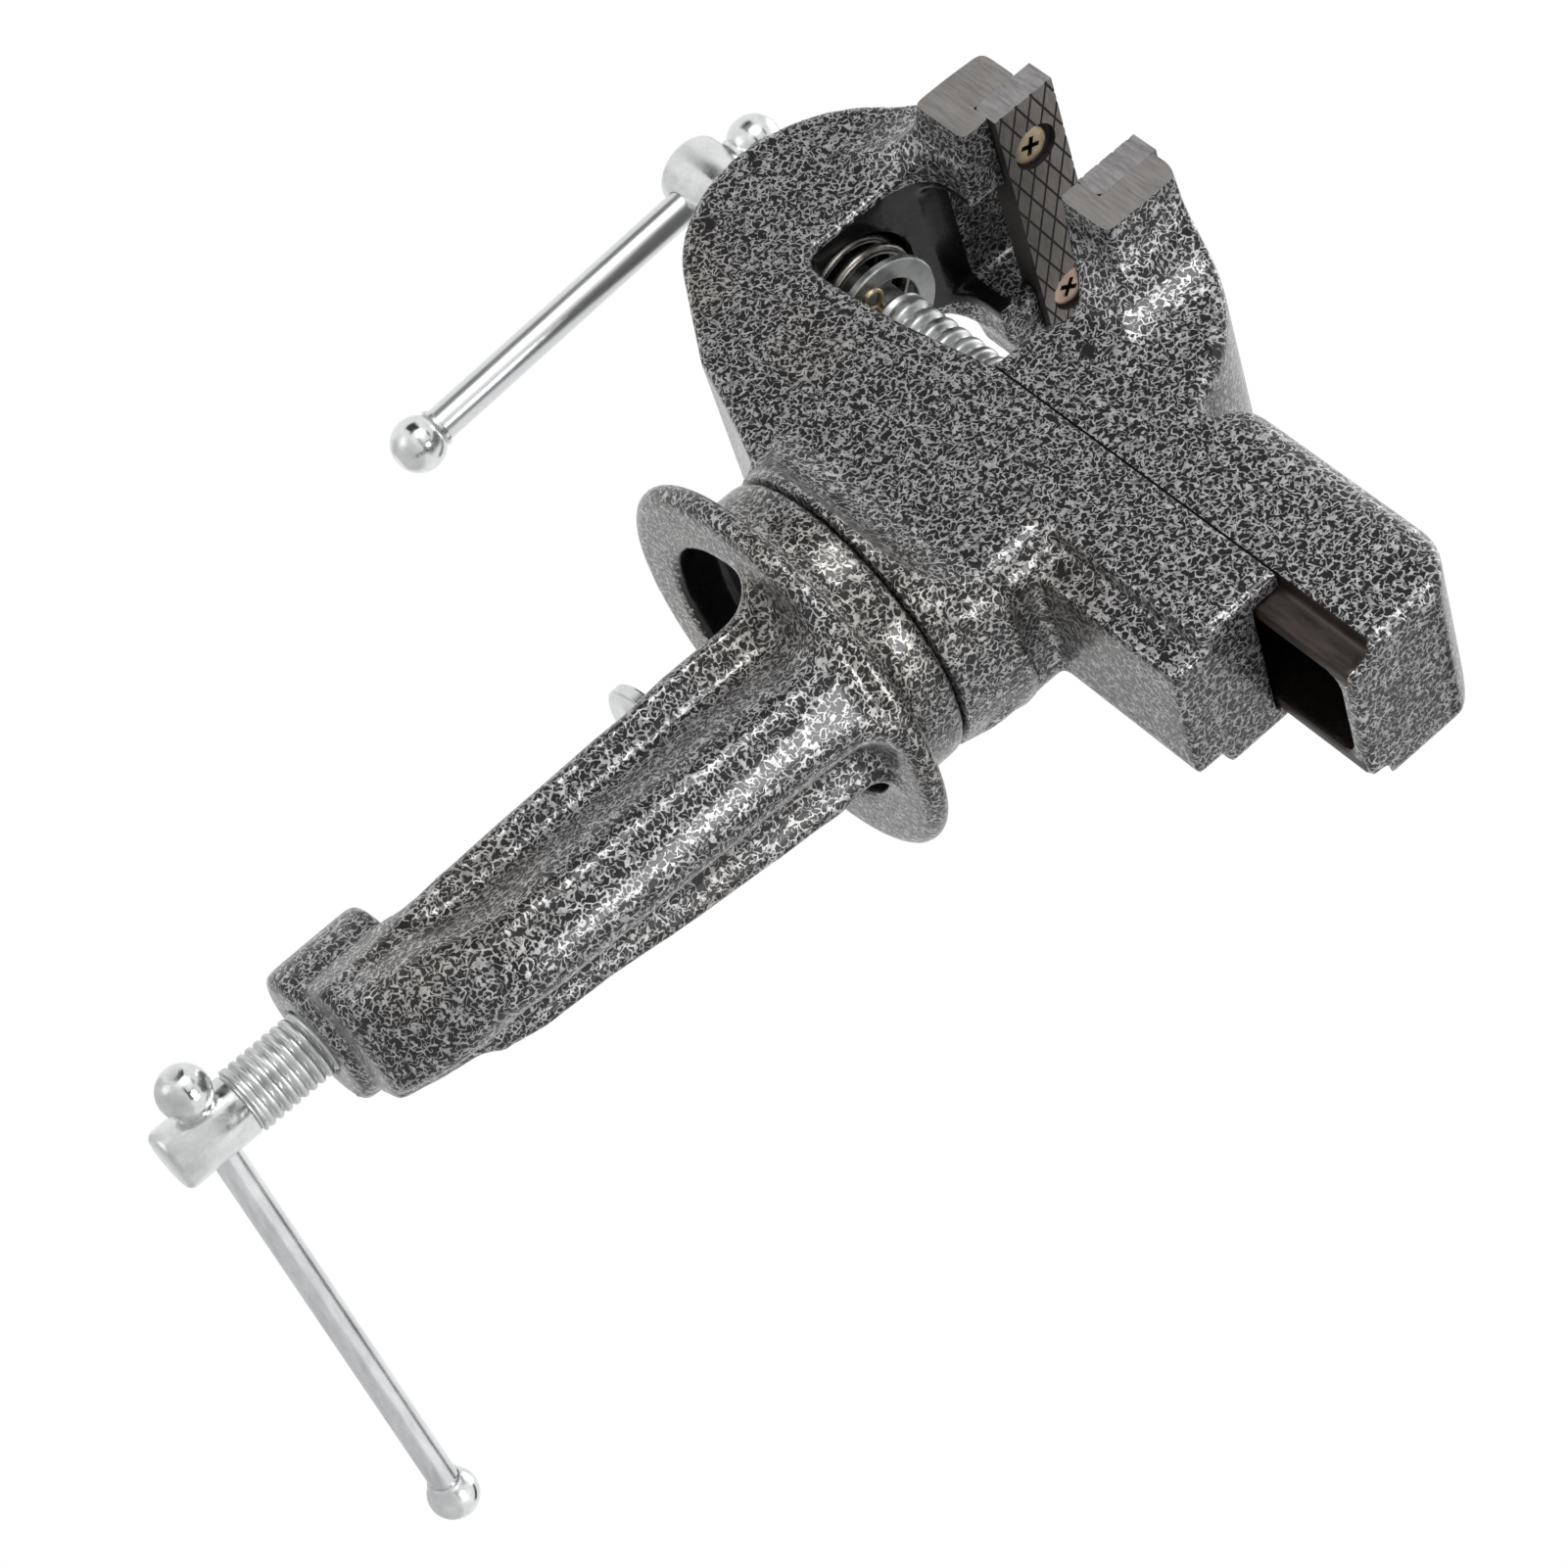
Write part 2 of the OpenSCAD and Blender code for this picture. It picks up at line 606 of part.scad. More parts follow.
module moving_jaw_plan() {
    back = moving_seat + moving_back;
    half = concat(
        [[moving_ledge - 1, jaw_w / 2], [back - 1, jaw_w / 2], [back, jaw_w / 2 - 1.5]],
        curve([back + 0.2, jaw_w / 2 - 2], [back + 1.5, head_w / 2 + 0.5],
            [back + 18, head_w / 2], 8),
        [[back + 24, head_w / 2 - 1]]
    );
    polygon(concat(half, [for (i = [len(half) - 1:-1:0]) [half[i][0], -half[i][1]]]));
}

module sliding_jaw_body() {
    block_foot = slide_base - 2.4;
    color(paint) difference() {
        union() {
            // Bar and jaw within the width of the body
            intersection() {
                across(head_w) slide_outline();
                union() {
                    along(nose - 1, slide_end + 1) slide_section();
                    translate([nose - 12, -head_w / 2, saddle_top - 4])
                        cube([hump_start + 9, head_w, plate_top]);
                }
                translate([0, 0, skirt_foot]) linear_extrude(plate_top) union() {
                    slide_plan();
                    translate([nose - 12, -head_w / 2]) square([14, head_w]);
                }
            }
            // End block, where the milled shoulders stop
            intersection() {
                translate([0, 0, block_foot]) linear_extrude(slide_h - 12) slide_plan();
                translate([shoulder_end, -head_w / 2, block_foot]) cube([slide_wall, head_w, slide_h]);
            }
            // Jaw, drawn in on its back and on its underside to the width of the bar
            intersection() {
                across(jaw_w) slide_outline();
                along(moving_ledge - 1, moving_seat + moving_back + 24)
                    jaw_section(head_w, jaw_foot + 1.5, plate_top);
                linear_extrude(plate_top) moving_jaw_plan();
            }
        }
        // Hollow, open below, that clears the screw and holds the nut at its front
        slide_core();
        x_rod(screw_r + 0.8, nose - cut, nut_front + nut_len + 8);
        plate_screw_holes(moving_seat, 1);
    }
}

module slide_core() {
    rib = nut_front + nut_len + core_gap;
    rear = rib + 2.8;
    r = 3.5;
    translate([nut_front - core_gap, -core_w / 2, skirt_foot - cut])
        cube([nut_len + 2 * core_gap, core_w, core_top - skirt_foot + cut]);
    translate([rear, -core_w / 2, skirt_foot - cut])
        cube([core_end - r - rear, core_w, core_top - skirt_foot + cut]);
    translate([0, 0, skirt_foot - cut]) linear_extrude(core_top - skirt_foot + cut) {
        translate([core_end - 2 * r, -core_w / 2 + r]) square([2 * r, core_w - 2 * r]);
        for (s = [-1, 1]) translate([core_end - r, s * (core_w / 2 - r)]) circle(r);
    }
    // The rib behind the nut is open below its screw hole
    translate([rib - 0.1, -screw_r - 0.8, skirt_foot - cut])
        cube([rear - rib + 0.2, 2 * screw_r + 1.6, axis_z - skirt_foot + cut]);
}

module sliding_jaw_plate() {
    jaw_plate(moving_face, 1);
}

module sliding_plate_screws() {
    plate_screws(moving_face, 1);
}

module jaw_nut() {
    foot = skirt_foot + 0.3;
    color(steel) difference() {
        translate([nut_front, -core_w / 2 + core_gap, foot])
            cube([nut_len, core_w - 2 * core_gap, core_top - core_gap - foot]);
        x_rod(screw_r + run_gap, nut_front - cut, nut_front + nut_len + cut);
    }
}

// Main screw with its spring

module main_screw() {
    waist_start = -spring_seat + 2;
    color(zinc) difference() {
        translate([0, 0, axis_z]) rotate([0, 90, 0]) rotate_extrude() polygon([
            [0, -screw_head_end], [screw_head_r - 1, -screw_head_end],
            [screw_head_r, -screw_head_end + 1], [screw_head_r, head_shoulder],
            [screw_r, head_shoulder], [screw_r, waist_start - 1],
            [waist_r, waist_start], [waist_r, -thread_start - 1.6],
            [screw_r, -thread_start], [screw_r, screw_tip - 1.5],
            [screw_r - 1.5, screw_tip], [0, screw_tip]
        ]);
        on_main_screw() {
            translate([handle_x, 0, axis_z - screw_head_r - cut])
                cylinder(r = handle_r + rod_gap, h = 2 * screw_head_r + 2 * cut);
            translate([pin_x, 0, axis_z]) rotate([90 + pin_turn, 0, 0])
                cylinder(r = pin_r + run_gap, h = 3 * waist_r, center = true);
        }
    }
}

module spring_washer() {
    color(zinc) difference() {
        x_rod(spring_washer_r, washer_left, washer_left + spring_washer_t);
        x_rod(washer_hole_r, washer_left - cut, washer_left + spring_washer_t + cut);
    }
}

// Split pin: an eye at one end and two legs, bent apart, at the other
module split_pin() {
    eye_r = 2.1;
    leg_r = pin_r * 0.62;
    reach = waist_r + 1.6;
    color(bright_zinc) on_main_screw() translate([pin_x, 0, axis_z]) rotate([90 + pin_turn, 0, 0]) {
        translate([0, 0, -reach]) cylinder(r = pin_r, h = 2 * reach);
        translate([0, 0, reach + eye_r - 0.4]) rotate([0, 90, 0]) rotate_extrude()
            translate([eye_r, 0]) circle(leg_r, $fn = 16);
        for (s = [-1, 1]) translate([0, 0, -reach]) rotate([s * 35, 0, 0])
            translate([0, s * 0.3, -3.4]) cylinder(r = leg_r, h = 3.8, $fn = 16);
    }
}

// Spring: one unbroken wire that leaves the bore's floor square, winds up and meets the washer square
spring_x0 = -spring_seat + seat_gap;
spring_x1 = washer_left - seat_gap;
spring_run = spring_wire;
spring_steps = 8 * spring_curls;
spring_pitch = (spring_x1 - spring_x0 - 2 * spring_run) / spring_curls;
spring_path = concat(
    [[spring_x0, spring_r, 0]],
    [for (i = [0:spring_steps]) let (a = 360 * spring_curls * i / spring_steps)
        [spring_x0 + spring_run + spring_pitch * a / 360, spring_r * cos(a), spring_r * sin(a)]],
    [[spring_x1, spring_r * cos(360 * spring_curls), spring_r * sin(360 * spring_curls)]]
);
function unit(v) = v / norm(v);
function heading(path, i) =
    i == 0 || i == len(path) - 1 ? [1, 0, 0]
    : unit(unit(path[i + 1] - path[i]) + unit(path[i] - path[i - 1]));
function wire_ring(path, i, r, sides) =
    let (d = heading(path, i),
        out = unit([0, path[i][1], path[i][2]]),
        u = unit(out - d * (out * d)),
        v = cross(d, u))
    [for (k = [0:sides - 1]) let (a = 360 * k / sides)
        path[i] + r * (u * cos(a) + v * sin(a)) + [0, 0, axis_z]];
spring_rings = [for (i = [0:len(spring_path) - 1]) wire_ring(spring_path, i, spring_wire / 2, 6)];
echo(spring_least_gap = min([for (i = [0:len(spring_path) - 1], j = [i + 6:1:len(spring_path) - 1])
    norm(spring_path[i] - spring_path[j]) - spring_wire]));

module screw_spring() {
    color(zinc) loft(spring_rings);
}

// Handles

// Height of a ball's centre over the axis of a round head of radius head_r, resting on its drilled hole
function ball_seat(head_r, rod_r, ball_r) =
    head_r + sqrt(pow(ball_r + ball_gap, 2) - pow(rod_r + rod_gap, 2));

main_ball_z = axis_z + ball_seat(screw_head_r, handle_r, handle_ball_r);
near_ball = ball_seat(clamp_head_r, lever_r, lever_ball_r);

// A ball drilled to take the rod's end, with the rod running up towards +Z
module end_ball(ball_r, rod_r) {
    color(zinc) difference() {
        sphere(ball_r, $fn = 64);
        cylinder(r = rod_r, h = ball_r + 1);
    }
}

module main_handle_rod() {
    color(zinc) on_main_screw() translate([handle_x, 0, main_ball_z - handle_len])
        cylinder(r = handle_r, h = handle_len);
}

module main_handle_upper_ball() {
    on_main_screw() translate([handle_x, 0, main_ball_z]) rotate([180, 0, 0]) end_ball(handle_ball_r, handle_r);
}

module main_handle_lower_ball() {
    on_main_screw() translate([handle_x, 0, main_ball_z - handle_len]) end_ball(handle_ball_r, handle_r);
}

// Clamp screw, its pad and its handle

clamp_head_z = foot_base - clamp_show - clamp_head_len;
lever_z = clamp_head_z + clamp_head_len * 0.56;
pad_face = -pad_drop;
swivel_ball_z = pad_face - pad_t - swivel_ball_r + 0.9;

module clamp_screw() {
    shoulder = swivel_ball_z - swivel_ball_r - 5;
    color(zinc) translate([clamp_x, clamp_y, 0]) difference() {
        union() {
            translate([0, 0, swivel_ball_z]) sphere(swivel_ball_r, $fn = 64);
            rotate_extrude() polygon([
                [0, clamp_head_z], [clamp_head_r - 1, clamp_head_z],
                [clamp_head_r, clamp_head_z + 1], [clamp_head_r, clamp_head_z + clamp_head_len],
                [clamp_r, clamp_head_z + clamp_head_len], [clamp_r, shoulder - 1.5],
                [clamp_r - 1.5, shoulder], [ball_neck_r, shoulder],
                [ball_neck_r, swivel_ball_z], [0, swivel_ball_z]
            ]);
        }
        translate([0, 0, lever_z]) rotate([0, 90, lever_turn])
            cylinder(r = lever_r + rod_gap, h = 3 * clamp_head_r, center = true);
    }
}

module clamp_pad() {
    hub_foot = swivel_ball_z - swivel_ball_r * 0.72;
    color(zinc) translate([clamp_x, clamp_y, 0]) difference() {
        rotate_extrude() polygon([
            [0, pad_face], [pad_r - 0.8, pad_face], [pad_r, pad_face - 0.8], [pad_r, pad_face - pad_t + 0.5],
            [pad_r - 0.5, pad_face - pad_t], [pad_hub_r + 1.2, pad_face - pad_t],
            [pad_hub_r, pad_face - pad_t - 1.2], [pad_hub_r - 1.4, hub_foot], [0, hub_foot]
        ]);
        translate([0, 0, swivel_ball_z]) sphere(swivel_ball_r + run_gap, $fn = 64);
        translate([0, 0, hub_foot - cut]) cylinder(r = ball_neck_r + 0.5, h = 3);
    }
}

// Places what is drawn along +Z so that it runs outwards along the clamp handle, d from the screw's axis
module on_lever(d) {
    translate([clamp_x, clamp_y, lever_z]) rotate([0, 90, lever_turn]) translate([0, 0, d]) children();
}

module clamp_handle_rod() {
    color(zinc) on_lever(-near_ball) cylinder(r = lever_r, h = lever_len);
}

module clamp_handle_near_ball() {
    on_lever(-near_ball) end_ball(lever_ball_r, lever_r);
}

module clamp_handle_far_ball() {
    on_lever(lever_len - near_ball) rotate([180, 0, 0]) end_ball(lever_ball_r, lever_r);
}

clamp_frame();
pivot_bolt();
pivot_washer();
fixed_jaw_body();
fixed_jaw_plate();
fixed_plate_screws();
sliding_jaw_body();
sliding_jaw_plate();
sliding_plate_screws();
jaw_nut();
main_screw();
spring_washer();
split_pin();
screw_spring();
main_handle_rod();
main_handle_upper_ball();
main_handle_lower_ball();
clamp_screw();
clamp_pad();
clamp_handle_rod();
clamp_handle_near_ball();
clamp_handle_far_ball();
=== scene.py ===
import math

import bmesh
import bpy
import numpy as np
from mathutils import Matrix, Vector


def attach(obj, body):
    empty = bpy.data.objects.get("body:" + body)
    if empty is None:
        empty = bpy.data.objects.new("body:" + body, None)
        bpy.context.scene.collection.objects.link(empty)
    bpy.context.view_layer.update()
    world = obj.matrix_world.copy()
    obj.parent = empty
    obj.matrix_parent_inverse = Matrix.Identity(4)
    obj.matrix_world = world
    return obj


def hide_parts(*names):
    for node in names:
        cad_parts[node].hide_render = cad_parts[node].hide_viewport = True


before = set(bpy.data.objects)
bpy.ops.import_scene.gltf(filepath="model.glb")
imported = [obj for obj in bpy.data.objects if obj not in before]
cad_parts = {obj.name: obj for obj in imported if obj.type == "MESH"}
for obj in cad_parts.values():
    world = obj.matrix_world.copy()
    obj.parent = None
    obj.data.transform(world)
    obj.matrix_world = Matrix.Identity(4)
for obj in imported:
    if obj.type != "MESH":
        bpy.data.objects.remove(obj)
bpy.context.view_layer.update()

# Camera
# It stands low, off the slide's end, and looks up at the underside of the vise. It is rolled, so that
# the upright leg runs to the picture's lower left. Place and lens come from the photograph's lines.
camera = bpy.data.objects.new("camera", bpy.data.cameras.new("camera"))
bpy.context.collection.objects.link(camera)
camera.data.sensor_fit = "HORIZONTAL"
picture_wide, focal_in_pixels, sensor = 1601, 5208.28, 36
camera.data.sensor_width = sensor
camera.data.lens = focal_in_pixels / picture_wide * sensor
camera.data.clip_end = 10
right = (0.637203, 0.220083, 0.738604)
down = (0.532623, 0.566916, -0.628426)
ahead = (-0.557032, 0.793832, 0.244020)
stand = (0.55217, -0.75840, -0.24944)
rows = [(right[k], -down[k], -ahead[k], stand[k]) for k in range(3)]
camera.matrix_world = Matrix(rows + [(0, 0, 0, 1)])
bpy.context.scene.camera = camera
bpy.context.scene.view_settings.view_transform = "Standard"


# Studio
# A white floor below the lowest reach of the clamp, which can be seen through from underneath, a white
# room and five softboxes. The dark cards show only as streaks and shade in the metal and the gloss.
def place(tree, kind, inputs=None, **settings):
    """Puts a node in a tree; an input is a plain value or another node's output."""
    node = tree.nodes.new(kind)
    for key, value in settings.items():
        setattr(node, key, value)
    for key, value in (inputs or {}).items():
        if isinstance(value, bpy.types.NodeSocket):
            tree.links.new(value, node.inputs[key])
        else:
            node.inputs[key].default_value = value
    return node


def empty_material(name):
    """A material with nothing in its tree yet."""
    material = bpy.data.materials.new(name)
    material.use_nodes = True
    material.node_tree.nodes.clear()
    return material, material.node_tree


def aimed(obj, at, towards=(0, 0, 0)):
    """Stands an object at a point, so that it faces another."""
    obj.location = at
    obj.rotation_euler = (Vector(towards) - Vector(at)).to_track_quat("-Z", "Y").to_euler()
    bpy.context.collection.objects.link(obj)


floor_level, floor_half = -0.206, 6
# At these distances from the middle, the lit floor goes over into the plain white of the room
fade_from, fade_to = 0.22, 0.75
floor_mesh = bpy.data.meshes.new("floor")
floor_mesh.from_pydata([(x * floor_half, y * floor_half, floor_level)
                        for x, y in ((-1, -1), (1, -1), (1, 1), (-1, 1))], [], [(0, 1, 2, 3)])
floor = bpy.data.objects.new("floor", floor_mesh)
bpy.context.collection.objects.link(floor)
material, tree = empty_material("floor_white")
facing = place(tree, "ShaderNodeNewGeometry").outputs["Backfacing"]
ray = place(tree, "ShaderNodeLightPath")
open_way = place(tree, "ShaderNodeMath", {0: facing, 1: ray.outputs["Is Shadow Ray"]}, operation="MAXIMUM")
grain = place(tree, "ShaderNodeTexNoise", {"Scale": 3.0, "Detail": 2.0})
tint = place(tree, "ShaderNodeMix", {
    0: grain.outputs["Fac"], 6: (0.90, 0.90, 0.90, 1), 7: (0.93, 0.93, 0.93, 1)}, data_type="RGBA")
white = place(tree, "ShaderNodeBsdfDiffuse", {"Color": tint.outputs[2]})
spot = place(tree, "ShaderNodeVectorMath", {0: place(tree, "ShaderNodeTexCoord").outputs["Object"],
                                            1: (0.0, 0.0, floor_level)}, operation="DISTANCE")
far_off = place(tree, "ShaderNodeMapRange", {
    "Value": spot.outputs["Value"], "From Min": fade_from, "From Max": fade_to},
    interpolation_type="SMOOTHSTEP")
looked_at = place(tree, "ShaderNodeMath", {0: ray.outputs["Is Camera Ray"], 1: ray.outputs["Is Glossy Ray"]},
                  operation="MAXIMUM")
looked_at = place(tree, "ShaderNodeMath", {0: looked_at.outputs[0], 1: ray.outputs["Is Transmission Ray"]},
                  operation="MAXIMUM")
bright = place(tree, "ShaderNodeMath", {0: far_off.outputs[0], 1: looked_at.outputs[0]}, operation="MULTIPLY")
glow = place(tree, "ShaderNodeEmission", {"Color": (1, 1, 1, 1), "Strength": 1.0})
ground = place(tree, "ShaderNodeMixShader", {0: bright.outputs[0], 1: white.outputs[0], 2: glow.outputs[0]})
clear = place(tree, "ShaderNodeBsdfTransparent")
mix = place(tree, "ShaderNodeMixShader", {0: open_way.outputs[0], 1: ground.outputs[0], 2: clear.outputs[0]})
place(tree, "ShaderNodeOutputMaterial", {"Surface": mix.outputs[0]})
floor.data.materials.append(material)

world = bpy.data.worlds.new("room")
bpy.context.scene.world = world
world.use_nodes = True
tree = world.node_tree
tree.nodes.clear()
ray = place(tree, "ShaderNodeLightPath")
seen = place(tree, "ShaderNodeMath", {0: ray.outputs["Is Camera Ray"], 1: ray.outputs["Is Glossy Ray"]},
             operation="MAXIMUM")
seen = place(tree, "ShaderNodeMath", {0: seen.outputs[0], 1: ray.outputs["Is Transmission Ray"]},
             operation="MAXIMUM")
level = place(tree, "ShaderNodeMapRange", {"Value": seen.outputs[0], "To Min": 0.36, "To Max": 1.0})
back = place(tree, "ShaderNodeBackground", {"Color": (1, 1, 1, 1), "Strength": level.outputs[0]})
place(tree, "ShaderNodeOutputWorld", {"Surface": back.outputs[0]})

for name, at, size, watts in (
    ("softbox_front", (0.05, -1.25, 0.45), 0.5, 6.5),
    ("softbox_low", (-0.55, -0.75, -0.95), 0.4, 3.0),
    ("softbox_top", (-0.2, 0.2, 1.4), 0.9, 7.0),
    ("softbox_end", (1.3, -0.1, 0.35), 0.5, 2.0),
    ("softbox_side", (1.13, -0.44, 0.305), 0.34, 5.0),
):
    lamp = bpy.data.lights.new(name, "AREA")
    lamp.size = size
    lamp.energy = watts
    light = bpy.data.objects.new(name, lamp)
    # The side softbox only gives the runs of light along the leg
    light.visible_diffuse = name != "softbox_side"
    aimed(light, at)

material, tree = empty_material("card_dark")
grain = place(tree, "ShaderNodeTexNoise", {"Scale": 40.0})
tint = place(tree, "ShaderNodeMix", {
    0: grain.outputs["Fac"], 6: (0.045, 0.045, 0.045, 1), 7: (0.07, 0.07, 0.07, 1)}, data_type="RGBA")
matt = place(tree, "ShaderNodeBsdfDiffuse", {"Color": tint.outputs[2]})
place(tree, "ShaderNodeOutputMaterial", {"Surface": matt.outputs[0]})
for name, at, wide, high in (
    ("card_left", (-0.35, -1.05, -0.35), 0.16, 0.9),
    ("card_right", (0.95, -0.35, -0.30), 0.30, 0.9),
    ("card_over", (0.35, -0.75, 0.85), 0.5, 0.2),
    ("card_behind_camera", (0.80, -1.10, -0.36), 0.9, 0.8),
    ("card_front", (-0.76, -1.05, 0.30), 0.9, 0.8),
    ("card_back", (0.45, 0.81, 0.91), 0.36, 1.0),
    ("card_side", (1.45, -0.60, 0.40), 1.1, 1.3),
    ("card_below", (0.34, 0.66, -1.02), 1.5, 1.5),
):
    mesh = bpy.data.meshes.new(name)
    mesh.from_pydata([(x * wide / 2, y * high / 2, 0) for x, y in ((-1, -1), (1, -1), (1, 1), (-1, 1))],
                     [], [(0, 1, 2, 3)])
    mesh.materials.append(material)
    card = bpy.data.objects.new(name, mesh)
    aimed(card, at)
    card.visible_camera = False
    card.visible_diffuse = False
    card.visible_shadow = False


# Clamp frame
# One iron casting: a round flange with the swivel collar on it, and a ribbed leg down to a threaded
# foot. It is sand cast, so its edges are soft, and covered with hammer-finish paint.
def shader_group(name, inputs, outputs):
    """A node group with named sockets; gives the tree, its inputs and its output node."""
    group = bpy.data.node_groups.new(name, "ShaderNodeTree")
    for label, kind, value in inputs:
        group.interface.new_socket(label, in_out="INPUT", socket_type=kind).default_value = value
    for label, kind in outputs:
        group.interface.new_socket(label, in_out="OUTPUT", socket_type=kind)
    return group, group.nodes.new("NodeGroupInput").outputs, group.nodes.new("NodeGroupOutput").inputs


NUMBER, COLOUR = "NodeSocketFloat", "NodeSocketColor"


# Silver veins that dry out of the dark paint: the borders of small warped cells, broken in places,
# and thinner threads between them. Low on the vise, some of them are tinted warmer.
warp_by, border_fades, thread_fades, bare_fades, vein_height = 0.0021, 1.7, 1.9, 0.06, 0.25
veins, given, out = shader_group(
    "wrinkled_veins",
    [("Dark", COLOUR, (0.02, 0.018, 0.019, 1)), ("Vein", COLOUR, (0.5, 0.5, 0.5, 1)),
     ("Scale", NUMBER, 590.0), ("Width", NUMBER, 0.066), ("Thread", NUMBER, 0.028), ("Bare", NUMBER, 0.72)],
    [("Color", COLOUR), ("Veins", NUMBER), ("Roughness", NUMBER), ("Height", NUMBER)])
where = place(veins, "ShaderNodeTexCoord").outputs["Object"]
drift = place(veins, "ShaderNodeTexNoise", {"Vector": where, "Scale": given["Scale"], "Detail": 1.0})
push = place(veins, "ShaderNodeVectorMath", {0: drift.outputs["Color"], 1: (0.5, 0.5, 0.5)},
             operation="SUBTRACT")
push = place(veins, "ShaderNodeVectorMath", {0: push.outputs[0], "Scale": warp_by}, operation="SCALE")
warped = place(veins, "ShaderNodeVectorMath", {0: where, 1: push.outputs[0]}, operation="ADD").outputs[0]
cells = place(veins, "ShaderNodeTexVoronoi", {"Vector": warped, "Scale": given["Scale"]},
              feature="DISTANCE_TO_EDGE").outputs["Distance"]
edge = place(veins, "ShaderNodeMath", {0: given["Width"], 1: border_fades}, operation="MULTIPLY").outputs[0]
border = place(veins, "ShaderNodeMapRange", {
    "Value": cells, "From Min": given["Width"], "From Max": edge, "To Min": 1.0, "To Max": 0.0}).outputs[0]
gaps = place(veins, "ShaderNodeTexNoise", {"Vector": where, "Scale": 800.0, "Detail": 0.0}).outputs["Fac"]
kept = place(veins, "ShaderNodeMapRange", {"Value": gaps, "From Min": 0.43, "From Max": 0.50}).outputs[0]
border = place(veins, "ShaderNodeMath", {0: border, 1: kept}, operation="MULTIPLY").outputs[0]
wave = place(veins, "ShaderNodeTexNoise", {"Vector": warped, "Scale": 820.0, "Detail": 0.0}).outputs["Fac"]
off = place(veins, "ShaderNodeMath", {0: wave, 1: 0.5}, operation="SUBTRACT").outputs[0]
off = place(veins, "ShaderNodeMath", {0: off}, operation="ABSOLUTE").outputs[0]
edge = place(veins, "ShaderNodeMath", {0: given["Thread"], 1: thread_fades}, operation="MULTIPLY").outputs[0]
thread = place(veins, "ShaderNodeMapRange", {
    "Value": off, "From Min": given["Thread"], "From Max": edge, "To Min": 0.8, "To Max": 0.0}).outputs[0]
kept = place(veins, "ShaderNodeMapRange", {"Value": gaps, "From Min": 0.60, "From Max": 0.53}).outputs[0]
thread = place(veins, "ShaderNodeMath", {0: thread, 1: kept}, operation="MULTIPLY").outputs[0]
line = place(veins, "ShaderNodeMath", {0: border, 1: thread}, operation="MAXIMUM").outputs[0]
spots = place(veins, "ShaderNodeTexNoise", {"Vector": where, "Scale": 170.0, "Detail": 1.0}).outputs["Fac"]
wide = place(veins, "ShaderNodeMath", {0: given["Bare"], 1: bare_fades}, operation="ADD").outputs[0]
covered = place(veins, "ShaderNodeMapRange", {
    "Value": spots, "From Min": given["Bare"], "From Max": wide, "To Min": 1.0, "To Max": 0.0}).outputs[0]
line = place(veins, "ShaderNodeMath", {0: line, 1: covered}, operation="MULTIPLY").outputs[0]
cloud = place(veins, "ShaderNodeTexNoise", {"Vector": where, "Scale": 500.0, "Detail": 2.0}).outputs["Fac"]
shine = place(veins, "ShaderNodeMapRange", {
    "Value": cloud, "From Min": 0.3, "From Max": 0.65, "To Min": 0.55, "To Max": 1.0}).outputs[0]
line = place(veins, "ShaderNodeMath", {0: line, 1: shine}, operation="MULTIPLY").outputs[0]
patch = place(veins, "ShaderNodeTexNoise", {"Vector": where, "Scale": 22.0, "Detail": 2.0}).outputs["Fac"]
warm = place(veins, "ShaderNodeMapRange", {
    "Value": patch, "From Min": 0.47, "From Max": 0.57, "To Min": 0.0, "To Max": 0.55}).outputs[0]
height = place(veins, "ShaderNodeSeparateXYZ", {0: where}).outputs["Z"]
low_down = place(veins, "ShaderNodeMapRange", {
    "Value": height, "From Min": 0.062, "From Max": 0.045}).outputs[0]
warm = place(veins, "ShaderNodeMath", {0: warm, 1: low_down}, operation="MULTIPLY").outputs[0]
silver = place(veins, "ShaderNodeMix", {0: warm, 6: given["Vein"], 7: (1.0, 0.92, 0.80, 1)},
               data_type="RGBA", blend_type="MULTIPLY").outputs[2]
paint = place(veins, "ShaderNodeMix", {0: line, 6: given["Dark"], 7: silver}, data_type="RGBA")
veins.links.new(paint.outputs[2], out["Color"])
veins.links.new(line, out["Veins"])
gloss = place(veins, "ShaderNodeMapRange", {"Value": line, "To Min": 0.30, "To Max": 0.42})
veins.links.new(gloss.outputs[0], out["Roughness"])
peel = place(veins, "ShaderNodeTexNoise", {"Vector": where, "Scale": 300.0, "Detail": 2.0}).outputs["Fac"]
relief = place(veins, "ShaderNodeMath", {0: line, 1: vein_height, 2: peel},
               operation="MULTIPLY_ADD").outputs[0]
veins.links.new(relief, out["Height"])


def painted(name, dark, vein, bare=0.72, vein_metal=0.75):
    """Hammer-finish paint under a clear gloss."""
    material, tree = empty_material(name)
    group = place(tree, "ShaderNodeGroup", node_tree=veins)
    for key, value in (("Dark", dark), ("Vein", vein), ("Scale", 590.0), ("Width", 0.066),
                       ("Thread", 0.028), ("Bare", bare)):
        group.inputs[key].default_value = value
    bump = place(tree, "ShaderNodeBump", {
        "Height": group.outputs["Height"], "Strength": 0.7, "Distance": 0.00022})
    shader = place(tree, "ShaderNodeBsdfPrincipled", {
        "Base Color": group.outputs["Color"], "Roughness": group.outputs["Roughness"],
        "Specular IOR Level": 0.15, "Normal": bump.outputs[0], "Coat Weight": 0.38, "Coat Roughness": 0.12})
    metal = place(tree, "ShaderNodeMath", {0: group.outputs["Veins"], 1: vein_metal}, operation="MULTIPLY")
    tree.links.new(metal.outputs[0], shader.inputs["Metallic"])
    place(tree, "ShaderNodeOutputMaterial", {"Surface": shader.outputs[0]})
    return material


